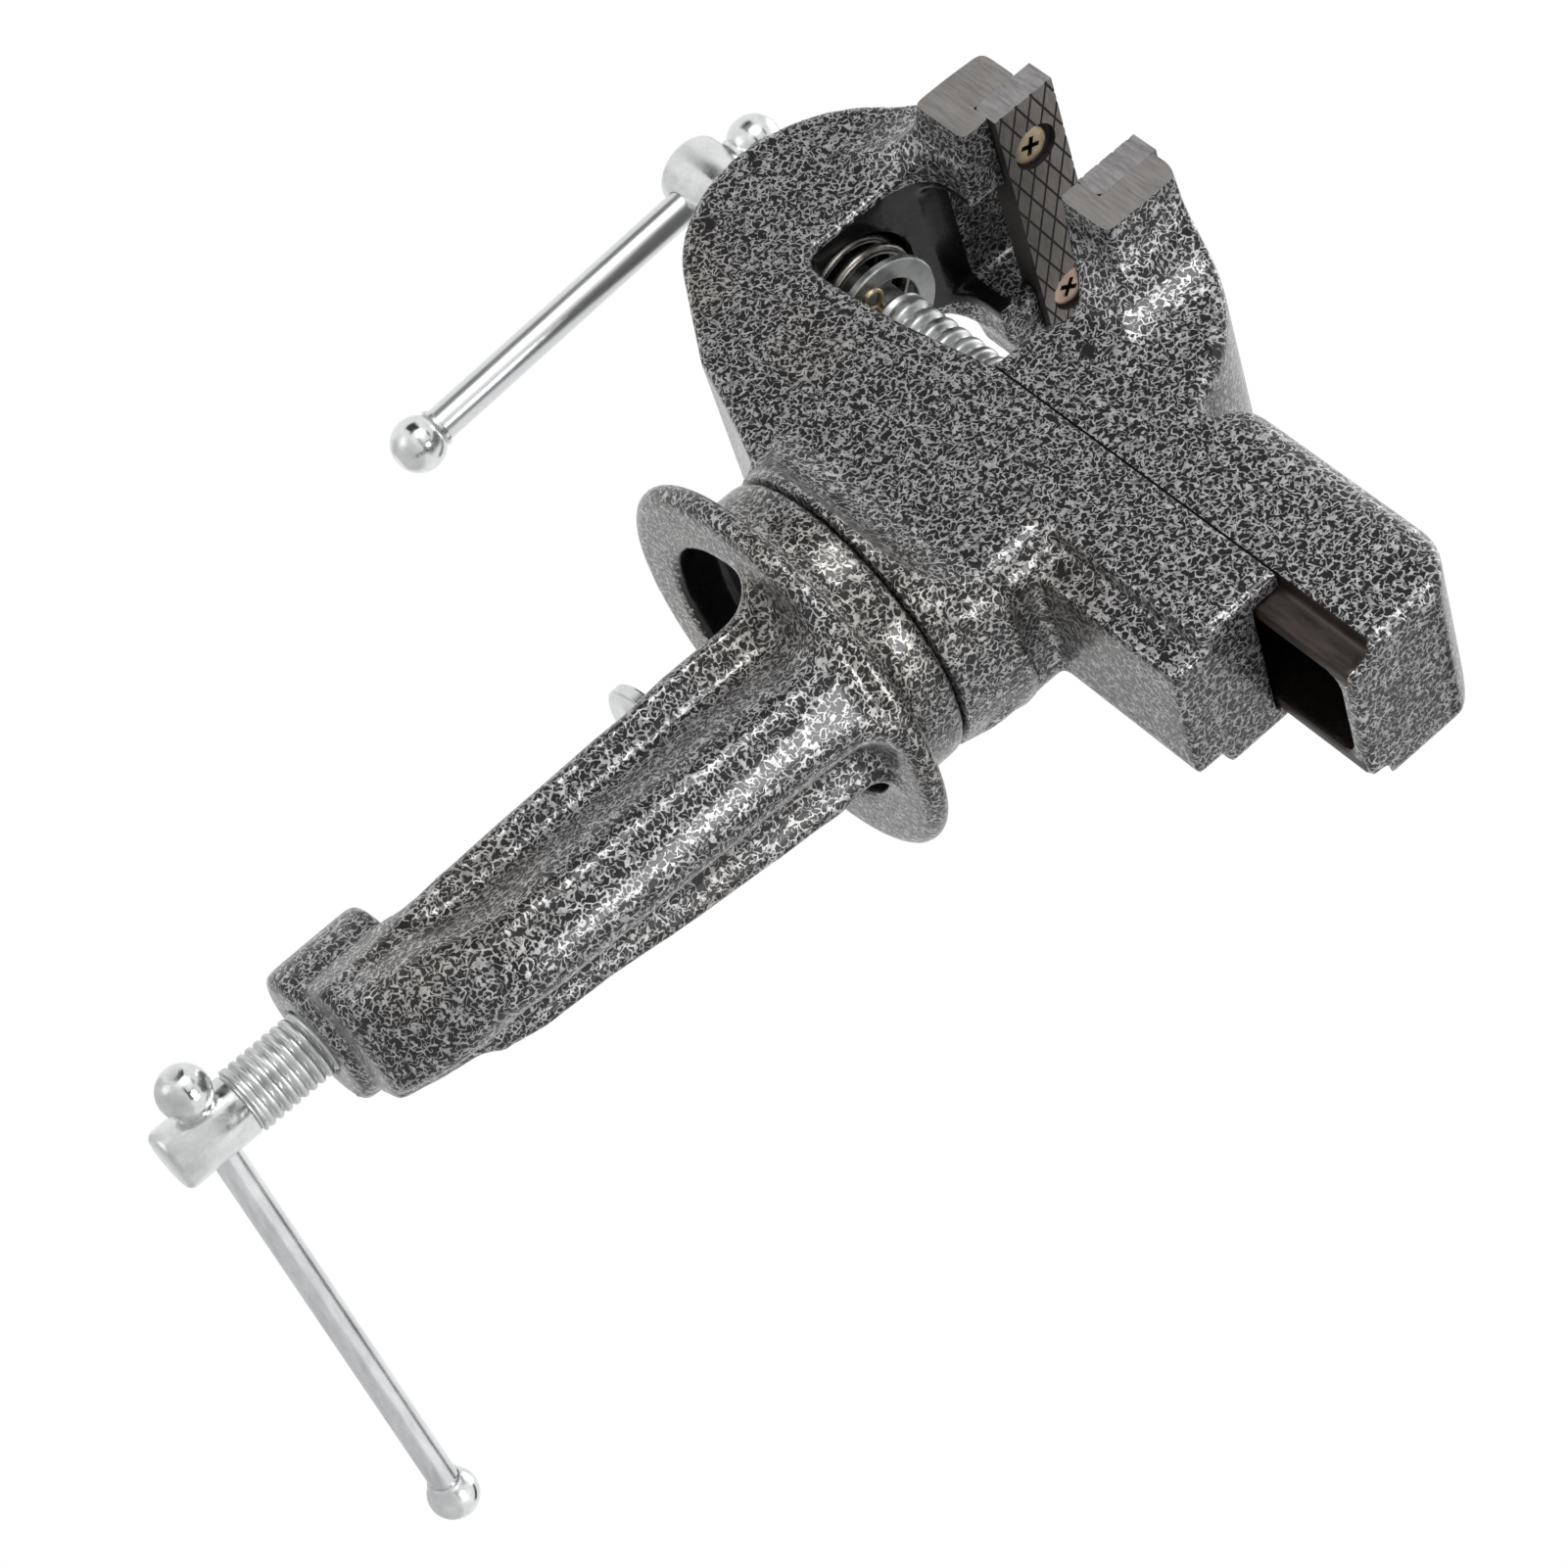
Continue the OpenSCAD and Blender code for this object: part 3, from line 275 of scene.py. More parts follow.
# Fine lines that a cutter or a stone leaves along one direction of a bare metal face, and stains
stain_share = 0.45
marks, given, out = shader_group(
    "cutter_marks",
    [("Low", COLOUR, (0.1, 0.1, 0.1, 1)), ("High", COLOUR, (0.3, 0.3, 0.3, 1)),
     ("Along", "NodeSocketVector", (1, 1, 1)), ("Scale", NUMBER, 300.0)],
    [("Color", COLOUR), ("Roughness", NUMBER), ("Height", NUMBER)])
where = place(marks, "ShaderNodeTexCoord").outputs["Object"]
drawn = place(marks, "ShaderNodeVectorMath", {0: where, 1: given["Along"]}, operation="MULTIPLY").outputs[0]
lines = place(marks, "ShaderNodeTexNoise", {
    "Vector": drawn, "Scale": given["Scale"], "Detail": 4.0, "Roughness": 0.65}).outputs["Fac"]
stain = place(marks, "ShaderNodeTexNoise", {"Vector": where, "Scale": 90.0, "Detail": 3.0}).outputs["Fac"]
both = place(marks, "ShaderNodeMath", {0: stain, 1: stain_share, 2: lines},
             operation="MULTIPLY_ADD").outputs[0]
spread = place(marks, "ShaderNodeMapRange", {"Value": both, "From Min": 0.45, "From Max": 1.0}).outputs[0]
tone = place(marks, "ShaderNodeMix", {0: spread, 6: given["Low"], 7: given["High"]}, data_type="RGBA")
marks.links.new(tone.outputs[2], out["Color"])
rub = place(marks, "ShaderNodeMapRange", {
    "Value": lines, "From Min": 0.3, "From Max": 0.7, "To Min": 0.28, "To Max": 0.5})
marks.links.new(rub.outputs[0], out["Roughness"])
marks.links.new(lines, out["Height"])


def bare_metal(name, low, high, along=(1, 1, 1), scale=300.0, shift=0.0, depth=0.00004, metallic=1.0,
               uneven=1.0):
    """Bare or plated metal; along stretches the marks, shift makes the face duller, uneven its spots."""
    material, tree = empty_material(name)
    group = place(tree, "ShaderNodeGroup", node_tree=marks)
    for key, value in (("Low", low), ("High", high), ("Along", along), ("Scale", scale)):
        group.inputs[key].default_value = value
    dull = place(tree, "ShaderNodeMath", {0: group.outputs["Roughness"], 1: uneven, 2: shift},
                 operation="MULTIPLY_ADD")
    bump = place(tree, "ShaderNodeBump", {
        "Height": group.outputs["Height"], "Strength": 0.5, "Distance": depth})
    shader = place(tree, "ShaderNodeBsdfPrincipled", {
        "Base Color": group.outputs["Color"], "Metallic": metallic, "Roughness": dull.outputs[0],
        "Normal": bump.outputs[0]})
    place(tree, "ShaderNodeOutputMaterial", {"Surface": shader.outputs[0]})
    return material


def baked(obj):
    """Turns an object's modifiers into mesh."""
    graph = bpy.context.evaluated_depsgraph_get()
    mesh = bpy.data.meshes.new_from_object(obj.evaluated_get(graph))
    obj.modifiers.clear()
    obj.data = mesh


def shaded(obj, angle=35):
    """Smooth shading, with edges sharper than the angle in degrees left sharp."""
    obj.data.shade_smooth()
    obj.data.set_sharp_from_angle(angle=math.radians(angle))


def softened(mesh, rounds, kept):
    """Rounds the edges of a fine mesh, but not inside the kept boxes, which are in millimetres."""
    count = len(mesh.vertices)
    points = np.empty(count * 3)
    mesh.vertices.foreach_get("co", points)
    points = points.reshape(-1, 3)
    ends = np.empty(len(mesh.edges) * 2, dtype=np.int64)
    mesh.edges.foreach_get("vertices", ends)
    a, b = ends.reshape(-1, 2).T
    free = np.full(count, 0.6)
    for low, high in kept:
        free[np.all((points > np.array(low) / 1000) & (points < np.array(high) / 1000), axis=1)] = 0
    degree = np.maximum(np.bincount(ends, minlength=count), 1)
    for _ in range(rounds):
        mean = np.stack([np.bincount(a, points[b, k], count) + np.bincount(b, points[a, k], count)
                         for k in range(3)], axis=1) / degree[:, None]
        points += (mean - points) * free[:, None]
    mesh.vertices.foreach_set("co", points.ravel())
    mesh.update()


def cast(name, node, grid, rounds, kept, jaw_ends=0.0, spare=0.003):
    """A casting made from a node's solid: soft edges, and jaw ends that are cut flat from spare length."""
    obj = bpy.data.objects.new(name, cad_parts[node].data.copy())
    bpy.context.collection.objects.link(obj)
    bm = bmesh.new()
    bm.from_mesh(obj.data)
    bmesh.ops.remove_doubles(bm, verts=bm.verts, dist=1e-6)
    for vertex in bm.verts:
        if jaw_ends and abs(vertex.co.y) > jaw_ends - 0.00005:
            vertex.co.y += math.copysign(spare, vertex.co.y)
    bm.to_mesh(obj.data)
    bm.free()
    obj.data.materials.clear()
    remesh = obj.modifiers.new("grid", "REMESH")
    remesh.mode = "VOXEL"
    remesh.voxel_size = grid
    baked(obj)
    softened(obj.data, rounds, kept)
    if jaw_ends:
        bm = bmesh.new()
        bm.from_mesh(obj.data)
        for side in (-1, 1):
            everything = bm.verts[:] + bm.edges[:] + bm.faces[:]
            sliced = bmesh.ops.bisect_plane(bm, geom=everything, plane_co=(0, side * jaw_ends, 0),
                                            plane_no=(0, side, 0), clear_outer=True)
            rim = [g for g in sliced["geom_cut"] if isinstance(g, bmesh.types.BMEdge)]
            bmesh.ops.triangle_fill(bm, edges=rim, use_beauty=True, normal=(0, side, 0))
        bm.to_mesh(obj.data)
        bm.free()
    shaded(obj)
    return obj


def finished(obj, material, *others):
    """Gives an object its material; others are (material, test of a face's middle in mm and its normal)."""
    obj.data.materials.clear()
    obj.data.materials.append(material)
    for index, (other, test) in enumerate(others, 1):
        obj.data.materials.append(other)
        for face in obj.data.polygons:
            if test(face.center * 1000, face.normal):
                face.material_index = index


hammer_paint = painted("hammer_paint", (0.0200, 0.0183, 0.0186, 1), (0.52, 0.52, 0.525, 1))
# Near-black paint stands in for shade: painted shade in the flange's hollow and inside the head's window
hollow_painted_shade = painted("hollow_painted_shade", (0.004, 0.004, 0.004, 1), (0.012, 0.012, 0.012, 1), 0.52)
leg_kept = (
    ((-13, -11, -114), (6.5, 8, -90)),
    ((-8, -8, 9), (8, 8, 18.4)),
)
leg = cast("clamp_frame_casting", "clamp_frame", grid=0.0008, rounds=7, kept=leg_kept)

# Hand fettling, in millimetres: the rib's front is crowned, and the web's two edges follow the pattern
leg_turn, rib_crown, rib_half = math.radians(-38), 1.3, 10
rib_from, rib_over, web_from, web_over = 34, 5, 11, 6
points = np.empty(len(leg.data.vertices) * 3)
leg.data.vertices.foreach_get("co", points)
points = points.reshape(-1, 3) * 1000
height = points[:, 2]
outwards = points[:, 0] * math.cos(leg_turn) + points[:, 1] * math.sin(leg_turn)
sideways = points[:, 1] * math.cos(leg_turn) - points[:, 0] * math.sin(leg_turn)
on_rib = np.clip((outwards - rib_from) / rib_over, 0, 1)
on_rib = on_rib * np.interp(height, (-104, -94, -16, -8), (0, 1, 1, 0))
outwards = outwards - rib_crown * on_rib * np.clip(np.abs(sideways) / rib_half, 0, 1) ** 2
on_web = np.clip((outwards - web_from) / web_over, 0, 1)
edge = np.interp(height, (-108, -102, -96, -90, -84, -78, -66, -18),
                 (9.4, 9.8, 10.4, 11.0, 14.0, 16.3, 16.9, 19.1))
root = np.interp(height, (-100, -88, -80), (4, 6, 9))
far_shift = np.interp(height, (-112, -106, -102, -96, -90, -84, -78, -66, -54, -42, -30, -18, -12, -6, 0),
                      (0, 1.1, 2.2, 3.1, 4.1, 2.0, 0.4, 0.6, 1.5, 2.1, 2.6, 2.8, 3.2, 2.0, 0))
near_shift = np.interp(height, (-92, -84, -78, -66, -54, -42, -34, -24, -8),
                       (0, 1.2, 2.0, 1.5, 1.2, 0.8, 0.8, 0, 0))
near_edge = on_web * np.clip((np.abs(sideways) - root) / (edge - root), 0, 1)
sideways = sideways + near_edge * np.where(sideways > 0, far_shift, near_shift)
points[:, 0] = outwards * math.cos(leg_turn) - sideways * math.sin(leg_turn)
points[:, 1] = outwards * math.sin(leg_turn) + sideways * math.cos(leg_turn)
leg.data.vertices.foreach_set("co", (points / 1000).ravel())
softened(leg.data, rounds=4, kept=leg_kept)
shaded(leg)
# The hollow under the flange is painted near black as painted shade
finished(leg, hammer_paint,
         (hollow_painted_shade, lambda at, n: 0.6 < at.z < 11.2 and math.hypot(at.x, at.y) < 30 and n.z < 0.9))
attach(leg, "base")
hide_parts("clamp_frame")

# Swivel bolt and washer
# A zinc-plated hexagon bolt goes up through the collar into the head; its washer sits in the hollow
# under the flange. Both keep their solids and get a plated finish.
plating = bare_metal("zinc_plating", (0.55, 0.56, 0.57, 1), (0.80, 0.81, 0.81, 1), scale=300.0, shift=-0.14,
                     depth=0.00002)
for name in ("pivot_bolt", "pivot_washer"):
    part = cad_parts[name]
    part.data.materials.clear()
    part.data.materials.append(plating)

# Head
# The fixed jaw, the round back, the neck and the guide beam are one casting, painted like the frame.
# The jaw's ends and the seat of its plate are milled bare.
milled_end = bare_metal("milled_end", (0.20, 0.188, 0.180, 1), (0.30, 0.290, 0.280, 1), (0.12, 1, 1.8),
                        1500.0, 0.08, metallic=0.55)
jaw_half = 35.0
head = cast("head_casting", "fixed_jaw_body", grid=0.0007, rounds=7, jaw_ends=jaw_half / 1000, kept=(
    ((-58, -16.8, 61), (70.5, 16.8, 69.3)),
    ((-10, -21, 67.6), (70.5, 21, 69.3)),
    ((-93, -15.5, 56), (-46, 15.5, 89)),
    ((-49.6, -40, 102.6), (-43, 40, 116)),
    ((-34, -34, 18), (34, 34, 18.9)),
))
# Inside the window the paint is near black, as painted shade
finished(head, hammer_paint,
         (milled_end, lambda at, n: abs(at.y) > jaw_half - 0.05 or (-49.2 < at.x < -43.5 and at.z > 103.2)),
         (hollow_painted_shade, lambda at, n: abs(at.y) < 18.6 and 58 < at.z < 97.5 and -76 < at.x < -45.2))
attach(head, "head")
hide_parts("fixed_jaw_body")

# Jaw plates
# Two hardened steel bars, screwed on; the gripping faces have two crossing sets of grooves,
# and every plate has two deep countersunk holes.
fixed_face, moving_face = -42.4, -18.6
plate_long, plate_high, plate_thick = 2 * jaw_half, 15.0, 6.4
plate_foot, screw_in = 103.5, 21.5
plate_middle, hole_wide, hole_narrow = plate_foot + plate_high / 2, 5.2, 3.05
groove_turn, groove_step, groove_wide, groove_deep = 22.0, 3.7, 0.52, 0.24
plate_steel = bare_metal("plate_steel", (0.13, 0.118, 0.110, 1), (0.27, 0.255, 0.24, 1), (1, 0.2, 1.5),
                         800.0, 0.05, metallic=0.6)
plate_edge = bare_metal("plate_edge", (0.23, 0.22, 0.22, 1), (0.36, 0.35, 0.35, 1), (0.25, 1, 1.6),
                        900.0, 0.04, metallic=0.6)
# The plates' downward faces are painted near black as painted shade
plate_underside_shade = bare_metal("plate_underside_shade", (0.016, 0.014, 0.013, 1), (0.060, 0.054, 0.050, 1),
                             (0.25, 1, 1.6), 900.0, 0.15, metallic=0.2)
# The knurl's grooves and the screw holes' walls are painted near black as painted shade
groove_shade = bare_metal("groove_shade", (0.012, 0.010, 0.009, 1), (0.05, 0.043, 0.038, 1), scale=700.0,
                         shift=0.2, metallic=0.2)


def lathe(name, rows, around=48, pitch=0.0, closed=True, groove_sharp=2.2):
    """A turned body along Z from rows of (height, radius, depth of thread), in millimetres."""
    points, faces = [], []
    for height, radius, depth in rows:
        for k in range(around):
            turn = k / around
            cut = 0.0
            if depth:
                cut = depth * (0.5 + 0.5 * math.cos(2 * math.pi * (height / pitch - turn))) ** groove_sharp
            angle = 2 * math.pi * turn
            points.append(((radius - cut) * math.cos(angle) / 1000,
                           (radius - cut) * math.sin(angle) / 1000, height / 1000))
    for j in range(len(rows) - 1):
        for k in range(around):
            n = (k + 1) % around
            faces.append((j * around + k, j * around + n, (j + 1) * around + n, (j + 1) * around + k))
    if closed:
        faces.append(tuple(range(around))[::-1])
        faces.append(tuple((len(rows) - 1) * around + k for k in range(around)))
    mesh = bpy.data.meshes.new(name)
    mesh.from_pydata(points, [], faces)
    obj = bpy.data.objects.new(name, mesh)
    bpy.context.collection.objects.link(obj)
    return obj


def shaft(x, y, z, turn=None):
    """Places what was turned along Z: at a point in millimetres, and turned first."""
    return Matrix.Translation((x / 1000, y / 1000, z / 1000)) @ (turn or Matrix())


ALONG_X = Matrix(((0, 0, 1, 0), (1, 0, 0, 0), (0, 1, 0, 0), (0, 0, 0, 1)))
AGAINST_X = Matrix.Rotation(math.pi, 4, "Z") @ ALONG_X


def cut_away(obj, *tools):
    """Takes the tools out of an object and throws them away."""
    for tool in tools:
        modifier = obj.modifiers.new("cut", "BOOLEAN")
        modifier.operation = "DIFFERENCE"
        modifier.solver = "EXACT"
        modifier.object = tool
    bpy.context.view_layer.update()
    baked(obj)
    for tool in tools:
        bpy.data.objects.remove(tool)


def knurled_plate(name, face_x, inwards):
    """A plate whose face lies at face_x and whose back lies inwards of it, -1 or 1 along X."""
    lean = math.radians(groove_turn)
    bm = bmesh.new()
    reach, reach_across, reach_up = 26, 16, 6

    def corner(i, j, depth):
        across = (j - i) * groove_step / (2 * math.sin(lean))
        up = (i + j) * groove_step / (2 * math.cos(lean))
        return bm.verts.new(((face_x + inwards * depth) / 1000, across / 1000, (plate_middle + up) / 1000))

    inset = groove_wide / 2 / groove_step
    for i in range(-reach, reach):
        for j in range(-reach, reach):
            if abs(j - i) > reach_across or abs(i + j) > reach_up:
                continue
            low = [corner(i, j, groove_deep), corner(i + 1, j, groove_deep),
                   corner(i + 1, j + 1, groove_deep), corner(i, j + 1, groove_deep)]
            high = [corner(i + inset, j + inset, 0), corner(i + 1 - inset, j + inset, 0),
                    corner(i + 1 - inset, j + 1 - inset, 0), corner(i + inset, j + 1 - inset, 0)]
            bm.faces.new(high)
            for k in range(4):
                n = (k + 1) % 4
                bm.faces.new((low[k], low[n], high[n], high[k])).material_index = 1
    bmesh.ops.remove_doubles(bm, verts=bm.verts, dist=1e-7)
    for at, away in (((0, plate_long / 2, 0), (0, 1, 0)), ((0, -plate_long / 2, 0), (0, -1, 0)),
                     ((0, 0, plate_foot + plate_high), (0, 0, 1)), ((0, 0, plate_foot), (0, 0, -1))):
        bmesh.ops.bisect_plane(bm, geom=bm.verts[:] + bm.edges[:] + bm.faces[:], clear_outer=True,
                               plane_co=Vector(at) / 1000, plane_no=away)
    bmesh.ops.remove_doubles(bm, verts=bm.verts, dist=2e-6)
    rim = [e for e in bm.edges if e.is_boundary]
    wall = bmesh.ops.extrude_edge_only(bm, edges=rim)
    back = [g for g in wall["geom"] if isinstance(g, bmesh.types.BMVert)]
    for vertex in back:
        vertex.co.x = (face_x + inwards * plate_thick) / 1000
    for face in (g for g in wall["geom"] if isinstance(g, bmesh.types.BMFace)):
        face.material_index = 2
    bmesh.ops.triangle_fill(bm, edges=[e for e in bm.edges if e.is_boundary], use_beauty=True)
    bmesh.ops.recalc_face_normals(bm, faces=bm.faces)
    mesh = bpy.data.meshes.new(name)
    bm.to_mesh(mesh)
    bm.free()
    for material in (plate_steel, groove_shade, plate_edge, plate_underside_shade):
        mesh.materials.append(material)
    obj = bpy.data.objects.new(name, mesh)
    bpy.context.collection.objects.link(obj)
    tools = []
    for side in (-1, 1):
        tool = lathe("hole", ((-1, hole_wide, 0), (1.6, hole_wide, 0), (3.3, hole_narrow, 0),
                              (plate_thick + 1, hole_narrow, 0)))
        tool.data.transform(shaft(face_x, side * screw_in, plate_middle,
                                  ALONG_X if inwards > 0 else AGAINST_X))
        tools.append(tool)
    cut_away(obj, *tools)
    # The holes' walls take the grooves' painted shade, and the downward faces the underside's painted shade
    for face in obj.data.polygons:
        at = face.center * 1000
        from_hole = math.hypot(abs(at.y) - screw_in, at.z - plate_middle)
        if from_hole < hole_wide + 0.1 and abs(face.normal.x) < 0.9:
            face.material_index = 1
        elif face.normal.z < -0.9:
            face.material_index = 3
    shaded(obj, 20)
    return obj


for name, node, body, face_x, inwards in (
    ("fixed_plate_knurled", "fixed_jaw_plate", "head", fixed_face, -1),
    ("sliding_plate_knurled", "sliding_jaw_plate", "sliding_jaw", moving_face, 1),
):
    plate = knurled_plate(name, face_x, inwards)
    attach(plate, body)
    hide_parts(node)

# Plate screws
# Countersunk cross-head screws, sunk below the plates' faces and a little low in their holes; the
# passivation has turned yellow on most of them and pinkish on one.
screw_low, shank = 0.55, 2.4
yellow_plating = bare_metal("yellow_plating", (0.30, 0.235, 0.150, 1), (0.62, 0.52, 0.36, 1), scale=500.0)
pink_plating = bare_metal("pink_plating", (0.30, 0.200, 0.155, 1), (0.60, 0.44, 0.36, 1), scale=500.0)
# The screws' cross recesses are painted dark as painted shade
recess_shade = bare_metal("recess_shade", (0.030, 0.023, 0.015, 1), (0.10, 0.078, 0.050, 1), scale=700.0,
                         shift=0.1)


def cross_recess():
    """Two crossing wedges that narrow with depth."""
    tools = []
    for flip in (False, True):
        points = []
        for depth, half, wide in ((0.6, 2.55, 0.60), (3.0, 0.9, 0.34)):
            for u, v in ((-half, -wide), (half, -wide), (half, wide), (-half, wide)):
                points.append(((v if flip else u) / 1000, (-u if flip else v) / 1000, depth / 1000))
        mesh = bpy.data.meshes.new("wedge")
        mesh.from_pydata(points, [], [(0, 3, 2, 1), (4, 5, 6, 7), (0, 1, 5, 4), (1, 2, 6, 5),
                                      (2, 3, 7, 6), (3, 0, 4, 7)])
        tool = bpy.data.objects.new("wedge", mesh)
        bpy.context.collection.objects.link(tool)
        tools.append(tool)
    return tools


for name, node, body, face_x, turn, side, finish, lean in (
    ("fixed_plate_screw_near", "fixed_plate_screws", "head", fixed_face, AGAINST_X, -1, yellow_plating, 20),
    ("fixed_plate_screw_far", "fixed_plate_screws", "head", fixed_face, AGAINST_X, 1, pink_plating, 35),
    ("sliding_plate_screw_near", "sliding_plate_screws", "sliding_jaw", moving_face, ALONG_X, -1,
     yellow_plating, 5),
    ("sliding_plate_screw_far", "sliding_plate_screws", "sliding_jaw", moving_face, ALONG_X, 1,
     yellow_plating, 60),
):
    screw = lathe(name, ((1.0, shank, 0), (1.02, 3.3, 0), (1.14, 4.0, 0), (1.35, 4.3, 0), (1.6, 4.38, 0),
                         (3.1, 2.9, 0), (3.2, shank, 0), (11.5, shank, 0), (12.0, 2.0, 0)))
    cut_away(screw, *cross_recess())
    # The cross recess is painted dark as painted shade
    finished(screw, finish, (
        recess_shade, lambda at, n: 1.05 < at.z < 3.15 and math.hypot(at.x, at.y) < 2.75 and n.z < 0.99))
    screw.data.transform(shaft(face_x, side * screw_in, plate_middle - screw_low,
                               turn @ Matrix.Rotation(math.radians(lean), 4, "Z")))
    shaded(screw, 25)
    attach(screw, body)
    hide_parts(node)

# Slide
# The sliding jaw and its hollow bar are one casting. Its skirt and the shoulders that run on the
# guide beam are milled and brown with oil, and their colour is darkened to near black as painted shade.
# Brown oiled iron, darkened to near black as painted shade
oiled_iron_and_shade = bare_metal("oiled_iron_and_shade", (0.014, 0.010, 0.008, 1), (0.055, 0.040, 0.032, 1), (0.2, 1.2, 1.2),
                        500.0, 0.02, metallic=0.5)
# Inside the slide's hollow the paint is dark brown, near black, as painted shade
slide_hollow_shade = painted("slide_hollow_shade", (0.011, 0.0085, 0.0075, 1), (0.035, 0.029, 0.026, 1), 0.52)
slide = cast("slide_casting", "sliding_jaw_body", grid=0.0007, rounds=7, jaw_ends=jaw_half / 1000, kept=(
    ((-10, -20.6, 61), (93.4, 20.6, 69.5)),
    ((-6, -12.8, 61), (91, 12.8, 88)),
    ((-18.8, -40, 102.6), (-11.4, 40, 119)),
))
finished(slide, hammer_paint,
         (milled_end, lambda at, n: abs(at.y) > jaw_half - 0.05 or (-18.6 < at.x < -11.7 and at.z > 103.2)),
         (slide_hollow_shade, lambda at, n: abs(at.y) < 12.2 and at.z < 87.6 and -4.2 < at.x < 90.7),
         (oiled_iron_and_shade, lambda at, n: at.z < 69.4 and at.x < 93.4 and abs(at.y) > 12.2))
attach(slide, "sliding_jaw")
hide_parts("sliding_jaw_body")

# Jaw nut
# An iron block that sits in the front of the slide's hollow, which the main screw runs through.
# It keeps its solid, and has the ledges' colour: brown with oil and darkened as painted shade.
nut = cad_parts["jaw_nut"]
nut.data.materials.clear()
nut.data.materials.append(oiled_iron_and_shade)

# Main screw
# Turned steel with a round head, a plain journal, a waist for the washer and the pin, and a coarse
# rounded thread of 4 mm pitch; zinc plated.
axis, head_middle, handle_lean, handle_hole = 72.5, -107.1, 4.5, 3.75
turned_zinc = bare_metal("turned_zinc", (0.60, 0.61, 0.615, 1), (0.84, 0.85, 0.85, 1), scale=300.0,
                         shift=-0.16, depth=0.00002)
dull_zinc = bare_metal("dull_zinc", (0.26, 0.27, 0.27, 1), (0.50, 0.51, 0.50, 1), scale=260.0, depth=0.00002)
main_turn = Matrix.Translation((0, 0, axis / 1000)) @ Matrix.Rotation(math.radians(handle_lean), 4, "X")


def threaded(start, stop, radius, depth, pitch, run_in, run_out):
    """Rows of a thread that fades in and out at its ends."""
    rows = []
    count = int((stop - start) / pitch * 10)
    for k in range(count + 1):
        at = start + (stop - start) * k / count
        fade = min(1.0, (at - start) / run_in, (stop - at) / run_out)
        rows.append((at, radius, max(0.0005, depth * fade)))
    return rows


main_screw = lathe("main_screw_threaded", [
    (-113.7, 6.6, 0), (-113.6, 7.1, 0), (-113.1, 7.75, 0), (-112.4, 8.0, 0), (-90.2, 8.0, 0),
    (-89.8, 7.7, 0), (-89.8, 7.0, 0), (-74, 7.0, 0), (-73, 5.6, 0), (-48.6, 5.6, 0), (-47.2, 6.6, 0),
] + threaded(-47, 44.4, 7.0, depth=1.1, pitch=4.0, run_in=3.0, run_out=2.0) + [
    (45.4, 6.2, 0), (46, 5.4, 0)], around=56, pitch=4.0)
main_screw.data.transform(shaft(0, 0, axis, ALONG_X))
cross_hole = lathe("hole", ((-10, handle_hole, 0), (10, handle_hole, 0)), around=40)
cross_hole.data.transform(main_turn @ shaft(head_middle, 0, 0))
cut_away(main_screw, cross_hole)
finished(main_screw, turned_zinc, (dull_zinc, lambda at, n: at.x > -76))
shaded(main_screw, 30)
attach(main_screw, "main_screw")
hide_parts("main_screw")

# Spring washer and split pin
# A plated washer that the spring pushes against a split pin; the pin is one wire bent into an eye,
# put through the screw's waist, with its legs bent apart.
spring_washer = lathe("spring_washer_turned", (
    (-52.4, 8.6, 0), (-52.4, 12.6, 0), (-52.1, 12.9, 0), (-50.9, 12.9, 0), (-50.6, 12.6, 0), (-50.6, 8.6, 0),
    (-50.8, 8.4, 0), (-52.2, 8.4, 0), (-52.4, 8.6, 0)), around=72, closed=False)
spring_washer.data.materials.append(dull_zinc)
spring_washer.data.transform(shaft(0, 0, axis, ALONG_X))
bm = bmesh.new()
bm.from_mesh(spring_washer.data)
bmesh.ops.remove_doubles(bm, verts=bm.verts, dist=1e-6)
bmesh.ops.recalc_face_normals(bm, faces=bm.faces)
bm.to_mesh(spring_washer.data)
bm.free()
shaded(spring_washer, 30)
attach(spring_washer, "main_screw")
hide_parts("spring_washer")


def wire(name, path, radius, sides=12):
    """A round wire along a path in millimetres, with square-cut ends."""
    path = [Vector(p) for p in path]
    rings, faces = [], []
    heading = (path[1] - path[0]).normalized()
    out = heading.orthogonal().normalized()
    for k, point in enumerate(path):
        if k + 1 < len(path):
            ahead = (path[k + 1] - path[max(k - 1, 0)]).normalized()
        else:
            ahead = (path[k] - path[k - 1]).normalized()
        out = heading.rotation_difference(ahead) @ out
        heading = ahead
        other = heading.cross(out)
        for s in range(sides):
            a = 2 * math.pi * s / sides
            rings.append((point + radius * (math.cos(a) * out + math.sin(a) * other)) / 1000)
    for j in range(len(path) - 1):
        for s in range(sides):
            n = (s + 1) % sides
            faces.append((j * sides + s, j * sides + n, (j + 1) * sides + n, (j + 1) * sides + s))
    faces.append(tuple(range(sides))[::-1])
    faces.append(tuple((len(path) - 1) * sides + s for s in range(sides)))
    mesh = bpy.data.meshes.new(name)
    mesh.from_pydata(rings, [], faces)
    obj = bpy.data.objects.new(name, mesh)
    bpy.context.collection.objects.link(obj)
    return obj


